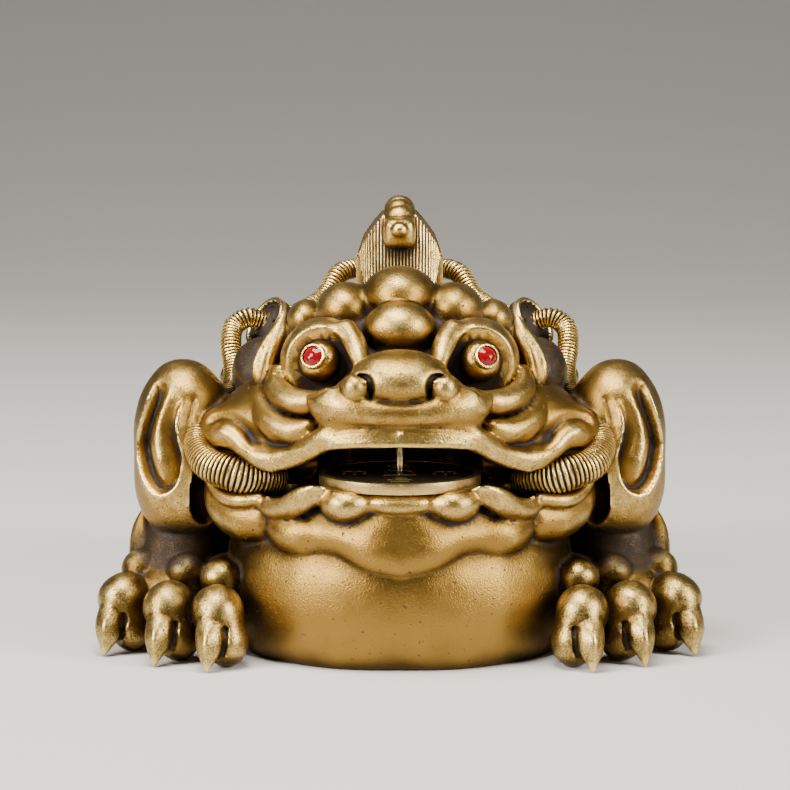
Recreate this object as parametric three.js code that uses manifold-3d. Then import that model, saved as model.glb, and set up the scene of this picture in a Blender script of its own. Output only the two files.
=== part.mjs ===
// A cast brass money toad that squats on its belly, with a coin that turns on a pin in its open mouth.
// The toad is one casting: body, head, legs, back crest and the string of coins it holds in its jaws.
// +Z is up, the toad looks along -Y, and the origin is on the ground under the middle of the figure.
// Millimetres. The free forms are placed in modules: the figure is 152 modules wide over its claws.

import * as THREE from "three";
import { mergeVertices } from "three/addons/utils/BufferGeometryUtils.js";
import Module from "manifold-3d";

const wasm = await Module();
wasm.setup();

// Driving dimensions
const FIGURE_WIDTH = 152;
const COIN_DIAMETER = 40;
const COIN_THICKNESS = 2.6;
const COIN_RIM_WIDTH = 1.8;
const COIN_RELIEF = 0.35;
const COIN_FRAME = 8;
const COIN_STROKE_WIDTH = 1;
const COIN_STROKE_LENGTH = 6;
const COIN_CLEARANCE = 0.4;
const PIN_DIAMETER = 1.8;
const PIN_CLEARANCE = 0.25;
const PIN_SOCKET_DEPTH = 4;
const PALATE_GAP = 0.3;
const GEM_DIAMETER = 4.8;
const GEM_HEIGHT = 1.6;
const GEM_SEAT_DEPTH = 1.0;
const GEM_GAP = 0.15;
const BEZEL_WIDTH = 0.9;
const BEZEL_RISE = 0.3;
const STRING_RADIUS = 2.8;
const STRING_MOUTH_RADIUS = 4.4;
const STRING_COINS = 11;
const SHOULDER_COIN_DIAMETER = 14.5;
const SHOULDER_COIN_THICKNESS = 2.2;
const SHOULDER_COIN_RIM = 0.9;
const SHOULDER_COIN_RELIEF = 0.5;
const CREST_FLUTES = 12;
const SPINE_BEAD_PITCH = 11;
const HIND_TOES = 3;
const HIND_TOE_SPREAD = 26;

const M = FIGURE_WIDTH / 152;
const SIDES = [-1, 1];
const WAY_THROUGH = 400;
const DEGREE = Math.PI / 180;

// Places in the figure, in modules
const MOUTH_COIN = { x: 0, y: -55, underside: 44 };
const PALATE = 55;
const EYE = { x: 19.7, y: -48.5, z: 73.1, radius: 5.1 };
const GEM_AXIS = [0.34, -0.86, 0.38];
const SHOULDER_COIN = { x: 35.5, y: -0.5, z: 78 };
const SHOULDER_COIN_AXIS = [0.74, -0.4, 0.54];

const brass = { color: 0xb08a3e, roughness: 0.35, metalness: 1 };

// Turns a closed geometry into a solid, by merging the vertices that its faces share.
// A geometry made for the toad's left is mirrored for its right, with its faces turned to match.
function solid(geometry, side = 1) {
  const bare = geometry.clone().scale(side, 1, 1);
  bare.deleteAttribute("normal");
  bare.deleteAttribute("uv");
  const merged = mergeVertices(bare, 1e-4);
  const corners = new Uint32Array(merged.index.array);
  if (signedVolume(merged) < 0) {
    for (let i = 0; i < corners.length; i += 3) {
      [corners[i + 1], corners[i + 2]] = [corners[i + 2], corners[i + 1]];
    }
  }
  const vertProperties = new Float32Array(merged.attributes.position.array);
  return new wasm.Manifold(new wasm.Mesh({ numProp: 3, vertProperties, triVerts: corners }));
}

function signedVolume(geometry) {
  const [position, index] = [geometry.attributes.position, geometry.index];
  const corner = (i) => new THREE.Vector3().fromBufferAttribute(position, index.getX(i));
  let total = 0;
  for (let i = 0; i < index.count; i += 3) total += corner(i).dot(corner(i + 1).cross(corner(i + 2))) / 6;
  return total;
}

function geometryOf(made) {
  const mesh = made.getMesh();
  const geometry = new THREE.BufferGeometry();
  geometry.setAttribute("position", new THREE.BufferAttribute(mesh.vertProperties, 3));
  geometry.setIndex(new THREE.BufferAttribute(mesh.triVerts, 1));
  geometry.computeVertexNormals();
  return geometry;
}

const join = (forms) => wasm.Manifold.union(forms);

// Pockets that overlapping forms shut in between them are filled, by keeping the outer shell alone.
const filled = (made) => join(made.decompose().filter((shell) => shell.volume() > 0));

// Places a geometry made about its own origin: turned by degrees about X, Y and Z, then moved.
function place(geometry, centre, turn = [0, 0, 0]) {
  const angles = new THREE.Euler(...turn.map((a) => a * DEGREE), "XYZ");
  geometry.applyQuaternion(new THREE.Quaternion().setFromEuler(angles));
  return geometry.translate(...centre);
}

// A rounded mass: an ellipsoid with its centre and radii in modules, on the left (1) or right (-1) side.
function lump(centre, radii, turn, sides = 7, rings = 5, side = 1) {
  const ball = new THREE.SphereGeometry(1, sides, rings).rotateX(Math.PI / 2);
  ball.scale(...radii.map((r) => r * M));
  return solid(place(ball, centre.map((v) => v * M), turn), side);
}

const sideLump = (side, centre, radii, turn, sides, rings) => lump(centre, radii, turn, sides, rings, side);

// The radius a share t along a roll, from a few radii spread evenly over its length.
function radiusAlong(radii, t) {
  const last = radii.length - 1;
  const i = Math.min(Math.floor(t * last), last - 1);
  const part = t * last - i;
  return radii[i] + (radii[i + 1] - radii[i]) * part * part * (3 - 2 * part);
}

// The smooth curve through points given in modules.
function smoothCurve(points) {
  return new THREE.CatmullRomCurve3(points.map((q) => new THREE.Vector3(...q).multiplyScalar(M)));
}

// A rounded roll of clay along a smooth curve: a turned profile, bent so that its axis follows the curve.
function roll(points, radii, sides = 6, rings = 6, side = 1, wave = () => 1) {
  const curve = smoothCurve(points);
  const frames = curve.computeFrenetFrames(rings);
  const caps = radii[0] > 3 ? 2 : 1;
  const stations = [];
  for (let i = 0; i <= rings; i++) {
    const radius = radiusAlong(radii, i / rings) * M;
    stations.push({ i, offset: 0, radius: radius * wave(i) });
  }
  for (let k = 1; k <= caps; k++) {
    const angle = (k / caps) * 90 * DEGREE;
    const [start, end] = [radii[0] * M, radii.at(-1) * M];
    stations.unshift({ i: 0, offset: -start * Math.sin(angle), radius: start * Math.cos(angle) });
    stations.push({ i: rings, offset: end * Math.sin(angle), radius: end * Math.cos(angle) });
  }
  const profile = stations.map((s, j) => new THREE.Vector2(s.radius, j));
  profile[0].x = 0;
  profile.at(-1).x = 0;
  const turned = new THREE.LatheGeometry(profile, sides);
  const position = turned.attributes.position;
  for (let v = 0; v < position.count; v++) {
    const station = stations[v % stations.length];
    const [x, z] = [position.getX(v), position.getZ(v)];
    const point = curve.getPointAt(station.i / rings);
    point.addScaledVector(frames.tangents[station.i], station.offset);
    point.addScaledVector(frames.normals[station.i], x);
    point.addScaledVector(frames.binormals[station.i], z);
    position.setXYZ(v, point.x, point.y, point.z);
  }
  return solid(turned, side);
}

// A disc or cylinder about an axis, in millimetres, from its first end along the axis.
function disc(centre, axis, radius, length, sides = 24) {
  const along = new THREE.Vector3(...axis).normalize();
  const geometry = new THREE.CylinderGeometry(radius, radius, length, sides).translate(0, length / 2, 0);
  geometry.applyQuaternion(new THREE.Quaternion().setFromUnitVectors(new THREE.Vector3(0, 1, 0), along));
  return solid(geometry.translate(...centre));
}

// The squat body: a broad belly that the toad sits on, and a rounded back that falls to the tail.
function body() {
  return [
    lump([0, -28, 14], [43, 46, 36], [0, 0, 0], 12, 6),
    lump([0, 10, 36], [54.6, 62.6, 47], [0, 0, 0], 12, 6),
    lump([0, -6, 62], [38, 30, 22], [0, 0, 0], 8, 4),
  ];
}

// One toe is a chain of a knuckle, a round ball and a pointed nail that reaches the ground.
function toe(side, way, size) {
  return roll(way, [3, 5.4, 4.2, 7.2, 6.2, 3, 0.4].map((r) => r * size), 5, 6, side);
}

// A front leg: haunch, forearm, the tuft behind the elbow and three toes that fan out.
const FRONT_TOES = [
  {
    size: 0.96,
    way: [[44.6, -43, 20], [44.8, -50.4, 18.6], [44.9, -57, 14.4], [45, -62.4, 12], [46.4, -71.6, 1]],
  },
  {
    size: 1.0,
    way: [[52, -36, 20], [54.2, -43.6, 18.4], [56.2, -50.4, 14.6], [57.8, -55.6, 12.4], [60.4, -64.6, 1]],
  },
  {
    size: 1.0,
    way: [[63, -31, 20.6], [66, -37.4, 18.6], [68.2, -42, 14.6], [69.8, -45.4, 12.4], [74, -54, 1]],
  },
];

function foreleg(side) {
  return [
    carvedHaunch(side),
    roll([[52, -24, 38], [54.5, -30, 28], [55, -34, 15]], [12, 10.5, 10], 7, 2, side),
    sideLump(side, [54, -35.5, 13], [15, 13, 11], [0, 0, 12], 7, 4),
    sideLump(side, [63, -25, 24], [4, 7, 12], [0, -16, 0], 5, 4),
    ...FRONT_TOES.map(({ way, size }) => toe(side, way, size)),
  ];
}

// The haunch carries a carved loop on its front, open at the top: its line is given in x and z, from the
// outer end round the foot to the inner end, and runs just under the surface of the haunch.
const HAUNCH = { centre: [54.2, -25, 49.5], radii: [13.4, 16, 21.5] };
const LOOP = [
  [61.8, 63.5], [64, 56.5], [64.6, 49.2], [61.6, 42], [58, 41], [56, 47.6], [57, 56], [54.6, 63],
];
const LOOP_DEPTH = 0.9;

function carvedHaunch(side) {
  const [[x0, y0, z0], [rx, ry, rz]] = [HAUNCH.centre, HAUNCH.radii];
  const forward = (x, z) => Math.sqrt(1 - ((x - x0) / rx) ** 2 - ((z - z0) / rz) ** 2);
  const line = LOOP.map(([x, z]) => [x, y0 + LOOP_DEPTH - ry * forward(x, z), z]);
  const haunch = sideLump(side, HAUNCH.centre, HAUNCH.radii, [0, 5, 0], 8, 6);
  return haunch.subtract(roll(line, [1.4, 2, 2, 1.4], 4, 10, side));
}

// The head's masses: skull, cheeks, and the two rows of lumps on the forehead.
function skull() {
  const forms = [
    lump([0, -20, 64], [33, 33, 22], [0, 0, 0], 10, 5),
    lump([0, -30, 88], [9.2, 10.6, 7], [0, 0, 0], 6, 4),
    lump([0, -43, 80.6], [9.2, 8.8, 6.8], [0, 0, 0], 6, 4),
  ];
  for (const side of SIDES) {
    forms.push(
      sideLump(side, [13.6, -28, 84.4], [7.6, 10, 7], [0, 0, 0], 6, 4),
      sideLump(side, [27, -34, 57], [19.5, 19, 12.6], [0, 10, 35], 6, 4),
      sideLump(side, [35, -20, 67], [8, 12, 9], [0, 0, 0], 5, 4),
    );
  }
  return forms;
}

// The wing of the cheek: a flat mass that slopes out to the corner of the mouth, with a curled end.
function cheekWing(side) {
  const arch = [[35.6, -50.5, 55], [39, -46.6, 58.8], [44, -42, 60.4], [49, -38.5, 56.6]];
  return [
    sideLump(side, [36, -41, 56.2], [16, 9, 7.4], [0, 14, 33], 7, 4),
    roll(arch, [1.6, 2.2, 1.8], 5, 3, side),
    sideLump(side, [41.8, -46, 54], [5.6, 4.6, 4.2], [0, 0, 0], 5, 4),
  ];
}

// Upper jaw: one wavy lip that sweeps out to both corners, and the two-lobed pad above it.
const UPPER_LIP = [
  [0, -70.6, 58.4], [9, -69.6, 58.4], [16.5, -66.6, 57], [21.5, -63, 54], [26.4, -59.4, 51],
  [31.3, -56, 49.4], [36, -52.4, 50.8], [40.5, -48.2, 53.6], [45, -43.5, 54.6], [49, -39.5, 53.2],
];
const MUZZLE_PAD = [
  [0, -70, 62.8], [8, -69.4, 63.2], [13.6, -65.4, 64], [16.4, -60.6, 64.4], [16.6, -56, 66],
];

// A line given from the middle of the face outwards, carried across both sides.
const across = (points) => [...points.map(([x, y, z]) => [-x, y, z]).reverse(), ...points.slice(1)];

function upperJaw() {
  return [
    roll(across(UPPER_LIP), [2.6, 3.4, 3.4, 3.4, 3.4, 3.6, 3.6, 3.6, 3.4, 3.4, 3.4, 3.4, 2.6], 5, 14),
    roll(across(MUZZLE_PAD), [3, 5.6, 6, 4.6, 3.8, 4.6, 6, 5.6, 3], 5, 8),
    ...SIDES.flatMap(cheekWing),
  ];
}

// The nose: a broad dome with a round wing at each side.
function nose() {
  const forms = [lump([0, -62.8, 69.6], [12.6, 12.4, 8.4], [10, 0, 0], 7, 5)];
  for (const side of SIDES) forms.push(sideLump(side, [10.6, -68.6, 69], [3.2, 3.9, 3.5], [0, 0, 0], 5, 4));
  return forms;
}

function nostril(side) {
  return roll([[9.6, -70.4, 72.6], [7, -72.6, 70.6], [7, -73.6, 67]], [1, 1.5, 1.2], 4, 2, side);
}

// Round each eye: a cup with a shallow dish in its front, and two bags under it.
const EYE_BAGS = [
  [[31.2, -43, 69.4], [30.6, -47.4, 65.8], [27.4, -51.8, 63.9], [23.4, -55.4, 63.5], [19.4, -58, 65]],
  [[35.2, -42.6, 64.8], [33.6, -48, 60.7], [30, -53, 57.9], [26.2, -56.8, 57.1], [22.6, -60, 58.2]],
];

const eyeHood = (side) => sideLump(side, [19.6, -42.8, 73.2], [12.4, 12.2, 11.4], [0, 0, 0], 8, 6);
const eyeDish = (side) => sideLump(side, [20, -54, 73.4], [9, 5.8, 9.2], [0, 0, 0], 6, 4);

function eyeBags(side) {
  return EYE_BAGS.map((bag) => roll(bag, [2.4, 3.6, 4, 3.6, 2.2], 4, 4, side));
}

// Leaf ears behind the brows.
const leafEar = (side) => sideLump(side, [32, -32, 73], [3.8, 5.8, 9], [0, -4, 0], 6, 5);

// Lower jaw: side rolls, the lip that carries the coin, and the lobed bib under the chin.
const SIDE_LIP = [[32, -57, 38.8], [37.5, -55, 38.6], [42.5, -51.4, 39], [46, -47, 41], [48.6, -42, 44.6]];
const SIDE_POUCH = [[47, -38, 41], [44.6, -43, 35.6], [39, -48, 33.2], [33, -52.6, 33]];
const FRONT_LIP = [
  [0, -71.4, 41.4], [6, -71, 41.2], [12.6, -69.6, 40.6], [18.2, -67, 42.6], [24, -64.4, 41],
  [28.6, -60.4, 38.2], [33, -55.4, 38.4],
];
const BIB_EDGE = [
  [0, -71.4, 27.4], [7, -70.2, 29], [13.6, -66.8, 31.4], [18.6, -63.6, 32], [24.6, -60.2, 31.6],
  [29.6, -55, 34],
];

function lowerJaw() {
  const forms = [
    lump([0, -34, 37], [45, 30, 10], [0, 0, 0], 8, 4),
    lump([0, -58, 35.4], [23, 16, 9], [8, 0, 0], 8, 4),
    roll(across(BIB_EDGE), [4.2, 5.8, 5, 4.4, 4.6, 4.8, 4.6, 4.4, 5, 5.8, 4.2], 4, 10),
    roll(across(FRONT_LIP), [2.2, 3.4, 3, 2.4, 4.8, 3.6, 3.6, 3.6, 4.8, 2.4, 3, 3.4, 2.2], 5, 14),
  ];
  for (const side of SIDES) {
    forms.push(
      roll(SIDE_LIP, [2, 2, 2.2], 5, 3, side),
      roll(SIDE_POUCH, [3, 5, 5.6, 5], 5, 2, side),
    );
  }
  return forms;
}

// The mouth is open: a wide gap in front, and a narrower slit that follows the lips to each corner.
const MOUTH_SLIT = [
  [17, -68, 47.8], [24, -63, 46], [31, -58, 42.9], [38, -53, 43.6], [44, -47, 47.2], [49, -41, 49],
];

function mouthGap() {
  const [half, low, high, depth] = [21 * M, 44.2 * M, 54.6 * M, 44 * M];
  const shape = new THREE.Shape();
  shape.moveTo(-half, low);
  shape.lineTo(half, low);
  shape.quadraticCurveTo(half + 1.5 * M, high - 2.5 * M, half - 5 * M, high);
  shape.quadraticCurveTo(0, high + 1 * M, -half + 5 * M, high);
  shape.quadraticCurveTo(-half - 1.5 * M, high - 2.5 * M, -half, low);
  const front = new THREE.ExtrudeGeometry(shape, { depth, bevelEnabled: false, curveSegments: 3 });
  front.rotateX(Math.PI / 2).translate(0, -36 * M, 0);
  return [solid(front), ...SIDES.map((side) => roll(MOUTH_SLIT, [3.6, 2.6, 2, 2.2, 2.6, 2.8], 5, 5, side))];
}

// The string of coins: from the corner of the mouth, round the cheek and up to the shoulder coin.
const STRING_PATH = [
  [34, -53, 44.4],
  [41.2, -53.4, 45.6],
  [47.8, -50, 48],
  [51.6, -43.4, 51.8],
  [49.6, -36, 55.8],
  [45.4, -24, 59.2],
  [43, -16, 62.6],
  [42.9, -11, 67.4],
  [43.8, -7.5, 72],
  [43.4, -3.5, 76.6],
  [39.8, -1.8, 79],
  [35.5, -0.5, 78],
];

// A round string with a ring for each coin on it.
function strungCoins(path, radii, side) {
  return roll(path, radii, 5, 2 * STRING_COINS, side, (i) => (i % 2 ? 1.06 : 0.7));
}

function coinString(side) {
  const thin = STRING_RADIUS / M;
  const thick = STRING_MOUTH_RADIUS / M;
  const radii = [thick, thick, thick * 0.86, thin * 1.06, thin, thin, thin];
  return strungCoins(STRING_PATH, radii, side);
}

// The string goes on from the shoulder coins over the back, and crosses behind the crest.
const BACK_PATH = [
  [0, 32, 88.6], [8, 31, 88.6], [15.6, 25, 88], [20.5, 18, 81.5], [28, 10, 78.5], [35, 1, 76.5],
];

function backString() {
  return strungCoins(across(BACK_PATH), [STRING_RADIUS / M, STRING_RADIUS / M], 1);
}

// The large coin on each shoulder has a raised rim and a sunk face.
function shoulderCoin(side) {
  const axis = [SHOULDER_COIN_AXIS[0] * side, SHOULDER_COIN_AXIS[1], SHOULDER_COIN_AXIS[2]];
  const centre = [SHOULDER_COIN.x * side, SHOULDER_COIN.y, SHOULDER_COIN.z].map((v) => v * M);
  const radius = SHOULDER_COIN_DIAMETER / 2;
  const along = new THREE.Vector3(...axis).normalize();
  const back = along.clone().multiplyScalar(-SHOULDER_COIN_THICKNESS).add(new THREE.Vector3(...centre));
  const face = along.clone().multiplyScalar(-SHOULDER_COIN_RELIEF).add(new THREE.Vector3(...centre));
  const plate = disc(back.toArray(), axis, radius, SHOULDER_COIN_THICKNESS, 10);
  const stem = disc(back.addScaledVector(along, -6 * M).toArray(), axis, radius * 0.7, 6.2 * M, 5);
  const sunk = disc(face.toArray(), axis, radius - SHOULDER_COIN_RIM, 2 * SHOULDER_COIN_RELIEF, 10);
  return join([plate.subtract(sunk), stem]);
}

// The crest behind the head: a tuft of combed hair, fluted all round, that narrows to a ridge.
const CREST_LEVELS = [
  { z: 80, half: 11.4, front: -12, back: 34 },
  { z: 94, half: 11.4, front: -5.6, back: 33 },
  { z: 100.4, half: 9.2, front: -1, back: 30 },
  { z: 105.8, half: 4.4, front: 4, back: 25 },
];

function crest() {
  const columns = 2 * CREST_FLUTES;
  const profile = [new THREE.Vector2(0, CREST_LEVELS[0].z)];
  for (const level of CREST_LEVELS) profile.push(new THREE.Vector2(1, level.z));
  profile.push(new THREE.Vector2(0, CREST_LEVELS.at(-1).z));
  const turned = new THREE.LatheGeometry(profile, columns);
  const position = turned.attributes.position;
  const rows = profile.length;
  for (let v = 0; v < position.count; v++) {
    const level = CREST_LEVELS[Math.min(Math.max((v % rows) - 1, 0), CREST_LEVELS.length - 1)];
    const flute = Math.floor(v / rows) % columns % 2 ? 0.92 : 1;
    const middle = (level.front + level.back) / 2;
    const reach = (level.back - level.front) / 2;
    const x = position.getX(v) * level.half * flute;
    const y = middle - position.getZ(v) * reach * flute;
    position.setXYZ(v, x * M, y * M, position.getY(v) * M);
  }
  return solid(turned);
}

// The beaded spine, from the front of the crest over its top and down the back.
const SPINE = [
  [0, -1, 100.6], [0, 6, 104.4], [0, 15, 106], [0, 24, 105], [0, 31, 99],
  [0, 35, 88], [0, 40, 79], [0, 50, 72.5], [0, 60, 63], [0, 67, 50],
];

function beadedSpine() {
  const beads = Math.round(smoothCurve(SPINE).getLength() / SPINE_BEAD_PITCH);
  return roll(SPINE, [4.2, 4.1, 3.8, 3.6, 3.2], 6, 2 * beads, 1, (i) => (i % 2 ? 0.76 : 1));
}

// The hind leg, tucked in the middle under the tail, with its toes pointing back.
function hindLeg() {
  const forms = [
    lump([0, 56, 26], [30, 20, 25], [0, 0, 0], 8, 5),
    lump([0, 64, 9], [17, 13, 9], [0, 0, 0], 7, 4),
  ];
  for (let k = 0; k < HIND_TOES; k++) {
    const fan = (k - (HIND_TOES - 1) / 2) * HIND_TOE_SPREAD;
    const [sin, cos] = [Math.sin(fan * DEGREE), Math.cos(fan * DEGREE)];
    const behind = (d, z) => [sin * d, 58 + cos * d, z];
    forms.push(toe(1, [behind(6, 14), behind(12, 9), behind(18, 6.4), behind(23.4, 1)], 0.84));
  }
  return forms;
}

const gemAxis = (side) => new THREE.Vector3(GEM_AXIS[0] * side, GEM_AXIS[1], GEM_AXIS[2]).normalize();

// The point on the eyeball's surface, in millimetres, where the gem's girdle sits.
function gemPlace(side) {
  const eye = new THREE.Vector3(EYE.x * side, EYE.y, EYE.z).multiplyScalar(M);
  return eye.addScaledVector(gemAxis(side), EYE.radius * M);
}

// Each eyeball stands in a socket, with a raised bezel round the seat of its gem.
function eyeball(side) {
  const axis = gemAxis(side);
  const bezelRadius = GEM_DIAMETER / 2 + BEZEL_WIDTH;
  const foot = gemPlace(side).addScaledVector(axis, -2 * M);
  const ball = sideLump(side, [EYE.x, EYE.y, EYE.z], [EYE.radius, EYE.radius, EYE.radius], [0, 0, 0], 7, 5);
  return join([ball, disc(foot.toArray(), axis.toArray(), bezelRadius, 2 * M + BEZEL_RISE, 8)]);
}

// The seat has eight sides, with its flats set off the girdle of the gem by the gap.
function gemSeat(side) {
  const axis = gemAxis(side);
  const floor = gemPlace(side).addScaledVector(axis, -GEM_SEAT_DEPTH);
  const radius = (GEM_DIAMETER / 2 + GEM_GAP) / Math.cos(22.5 * DEGREE);
  return disc(floor.toArray(), axis.toArray(), radius, GEM_SEAT_DEPTH + 4, 8);
}

// A cut glass stone: flat table, sloping crown and a straight girdle that sits in the eyeball.
function gem(side) {
  const radius = GEM_DIAMETER / 2;
  const profile = [
    [0, GEM_GAP],
    [radius, GEM_GAP],
    [radius, GEM_HEIGHT * 0.55],
    [radius * 0.55, GEM_HEIGHT],
    [0, GEM_HEIGHT],
  ].map(([r, h]) => new THREE.Vector2(r, h));
  const geometry = new THREE.LatheGeometry(profile, 8);
  const turn = new THREE.Quaternion().setFromUnitVectors(new THREE.Vector3(0, 1, 0), gemAxis(side));
  geometry.applyQuaternion(turn);
  const floor = gemPlace(side).addScaledVector(gemAxis(side), -GEM_SEAT_DEPTH);
  return solid(geometry.translate(...floor.toArray()));
}

// The coin: a disc with raised rims, a raised square frame and plain strokes on its upper face.
const coinUnderside = MOUTH_COIN.underside * M;
const coinTop = coinUnderside + COIN_THICKNESS;
const coinAt = (z) => [MOUTH_COIN.x * M, MOUTH_COIN.y * M, z];

function mouthCoin() {
  const radius = COIN_DIAMETER / 2;
  const frame = COIN_FRAME / 2;
  const [wide, long] = [COIN_STROKE_WIDTH, COIN_STROKE_LENGTH];
  const up = [0, 0, 1];
  const bar = (w, d, x, y) =>
    solid(
      new THREE.BoxGeometry(w, d, COIN_RELIEF * 2).translate(
        coinAt(0)[0] + x,
        coinAt(0)[1] + y,
        coinTop - COIN_RELIEF,
      ),
    );
  const blank = disc(coinAt(coinUnderside), up, radius, COIN_THICKNESS);
  const sunk = disc(coinAt(coinTop - COIN_RELIEF), up, radius - COIN_RIM_WIDTH, 2 * COIN_RELIEF);
  const inner = COIN_FRAME - 2 * wide;
  const raised = [bar(COIN_FRAME, COIN_FRAME, 0, 0).subtract(bar(inner, inner, 0, 0))];
  for (const s of SIDES) {
    const mark = (radius - COIN_RIM_WIDTH + frame) / 2;
    const off = long / 4;
    raised.push(bar(long, wide, 0, s * mark), bar(wide, long / 2, -off, s * mark));
    raised.push(bar(wide, long, s * mark, 0), bar(long / 2, wide, s * mark, off));
  }
  const hole = disc(coinAt(coinUnderside - 1), up, PIN_DIAMETER / 2 + PIN_CLEARANCE, COIN_THICKNESS + 2, 12);
  return join([blank.subtract(sunk), ...raised]).subtract(hole);
}

// The pin stands in the lower jaw and ends just under the palate, so the coin can turn but not leave.
const pinFoot = coinUnderside - COIN_CLEARANCE - PIN_SOCKET_DEPTH;

function coinPin() {
  const length = PALATE * M - PALATE_GAP - pinFoot;
  return disc(coinAt(pinFoot), [0, 0, 1], PIN_DIAMETER / 2, length, 12);
}

// What has to stay free in the casting for the coin, its pin and the gems.
function fits() {
  const up = [0, 0, 1];
  const seat = coinUnderside - COIN_CLEARANCE;
  const high = PALATE * M - seat - 1.5 * M;
  return [
    disc(coinAt(seat), up, COIN_DIAMETER / 2 + COIN_CLEARANCE, high),
    disc(coinAt(pinFoot - PALATE_GAP), up, PIN_DIAMETER / 2 + PIN_CLEARANCE, PALATE * M - pinFoot, 12),
    ...SIDES.map(gemSeat),
  ];
}

function toad() {
  const masses = [...body(), ...skull(), ...upperJaw(), ...lowerJaw(), ...nose(), ...hindLeg()];
  for (const side of SIDES) masses.push(...foreleg(side), eyeHood(side), leafEar(side));
  const hollows = join([...mouthGap(), ...SIDES.map(eyeDish), ...SIDES.map(nostril)]);
  const added = [crest(), beadedSpine(), backString()];
  for (const side of SIDES) added.push(eyeball(side), ...eyeBags(side), coinString(side), shoulderCoin(side));
  const below = new THREE.BoxGeometry(WAY_THROUGH, WAY_THROUGH, WAY_THROUGH);
  const ground = solid(below.translate(0, 0, -WAY_THROUGH / 2));
  const casting = join([join(masses).subtract(hollows), ...added]);
  return filled(casting.subtract(join([...fits(), ground])));
}

function mesh(name, made, look) {
  const part = new THREE.Mesh(geometryOf(made), new THREE.MeshStandardMaterial(look));
  part.name = name;
  return part;
}

const figure = new THREE.Group();
figure.add(mesh("toad_casting", toad(), brass));
figure.add(mesh("mouth_coin", mouthCoin(), { ...brass, color: 0xb8954a, roughness: 0.3 }));
figure.add(mesh("coin_pin", coinPin(), { ...brass, color: 0xc9b27a, roughness: 0.25 }));
figure.add(mesh("left_eye_gem", gem(1), { color: 0xc01020, roughness: 0.08, metalness: 0 }));
figure.add(mesh("right_eye_gem", gem(-1), { color: 0xc01020, roughness: 0.08, metalness: 0 }));

// The origin is on the ground, under the middle of the whole figure.
const extent = new THREE.Box3().setFromObject(figure);
const middle = extent.getCenter(new THREE.Vector3());
figure.position.set(-middle.x, -middle.y, -extent.min.z);

export default figure;
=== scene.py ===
import math

import bpy
import numpy as np
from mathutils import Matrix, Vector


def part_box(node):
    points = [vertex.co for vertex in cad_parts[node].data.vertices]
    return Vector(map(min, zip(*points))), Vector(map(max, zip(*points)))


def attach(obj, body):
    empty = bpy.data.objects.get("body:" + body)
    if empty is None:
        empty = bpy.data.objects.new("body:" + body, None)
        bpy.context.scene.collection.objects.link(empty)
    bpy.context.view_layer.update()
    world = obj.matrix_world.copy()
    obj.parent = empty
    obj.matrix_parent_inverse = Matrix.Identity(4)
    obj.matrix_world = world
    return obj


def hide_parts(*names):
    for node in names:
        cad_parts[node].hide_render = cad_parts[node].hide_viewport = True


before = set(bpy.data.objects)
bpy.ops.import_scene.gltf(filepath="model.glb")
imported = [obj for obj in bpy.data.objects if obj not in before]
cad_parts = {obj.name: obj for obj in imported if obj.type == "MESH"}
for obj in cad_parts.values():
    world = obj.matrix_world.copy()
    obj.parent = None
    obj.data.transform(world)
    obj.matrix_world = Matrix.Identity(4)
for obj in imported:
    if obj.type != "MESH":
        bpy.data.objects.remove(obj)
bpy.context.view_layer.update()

import openvdb
from mathutils import Euler, Vector

# The figure is modelled in millimetres, with the coin's underside 44 up and its middle 55 in front of the origin.
MM = 0.001
COIN_BACK = -55.0
COIN_UNDERSIDE = 44.0
coin_low, coin_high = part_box("mouth_coin")
SHIFT = Vector((0, (coin_low.y + coin_high.y) / 2 - COIN_BACK * MM, coin_low.z - COIN_UNDERSIDE * MM))
COIN_RADIUS = (coin_high.x - coin_low.x) / 2 / MM
COIN_THICKNESS = (coin_high.z - coin_low.z) / MM

# The photograph is taken from in front and a little above
VIEW_RISE = math.radians(7.5)
VIEW_DISTANCE = 800.0
VIEW_TARGET = (-1.2, -50.0, 65.0)
FRAME_PIXELS = 790
PIXELS_PER_MM = 4.05

# The clay that the toad is modelled in
CLAY_STEP = 0.63
CLAY_LOW = (0.0, -81.0, -2.0)
CLAY_HIGH = (79.0, 84.0, 113.0)
FAR = 9.0
TOAD_TRIANGLES = 150000


def deselect():
    bpy.ops.object.select_all(action="DESELECT")


def make_active(piece):
    deselect()
    piece.select_set(True)
    bpy.context.view_layer.objects.active = piece


# Clay

def soft_join(a, b, soft):
    """The nearer of two surfaces, with the valley between them filled over a width of about soft millimetres."""
    if soft <= 0:
        return np.minimum(a, b)
    fill = np.maximum(soft - np.abs(a - b), 0) / soft
    return np.minimum(a, b) - fill * fill * (soft / 4)


def smooth_path(waypoints, spacing):
    """A smooth curve through the waypoints, as points about that far apart. Columns past the third ride along."""
    points = np.array(waypoints, float)
    ends = np.vstack([2 * points[0] - points[1], points, 2 * points[-1] - points[-2]])
    t = np.linspace(0, 1, 13)[:-1, None]
    spans = []
    for a, b, c, d in zip(ends, ends[1:], ends[2:], ends[3:]):
        cubic = -a + 3 * b - 3 * c + d
        square = 2 * a - 5 * b + 4 * c - d
        spans.append(b + 0.5 * t * ((c - a) + t * (square + t * cubic)))
    fine = np.vstack(spans + [points[-1:]])
    steps = np.linalg.norm(np.diff(fine[:, :min(3, fine.shape[1])], axis=0), axis=1)
    along = np.concatenate([[0], np.cumsum(steps)])
    count = max(2, int(math.ceil(along[-1] / spacing)))
    at = np.linspace(0, along[-1], count + 1)
    return np.stack([np.interp(at, along, column) for column in fine.T], axis=1)


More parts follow.
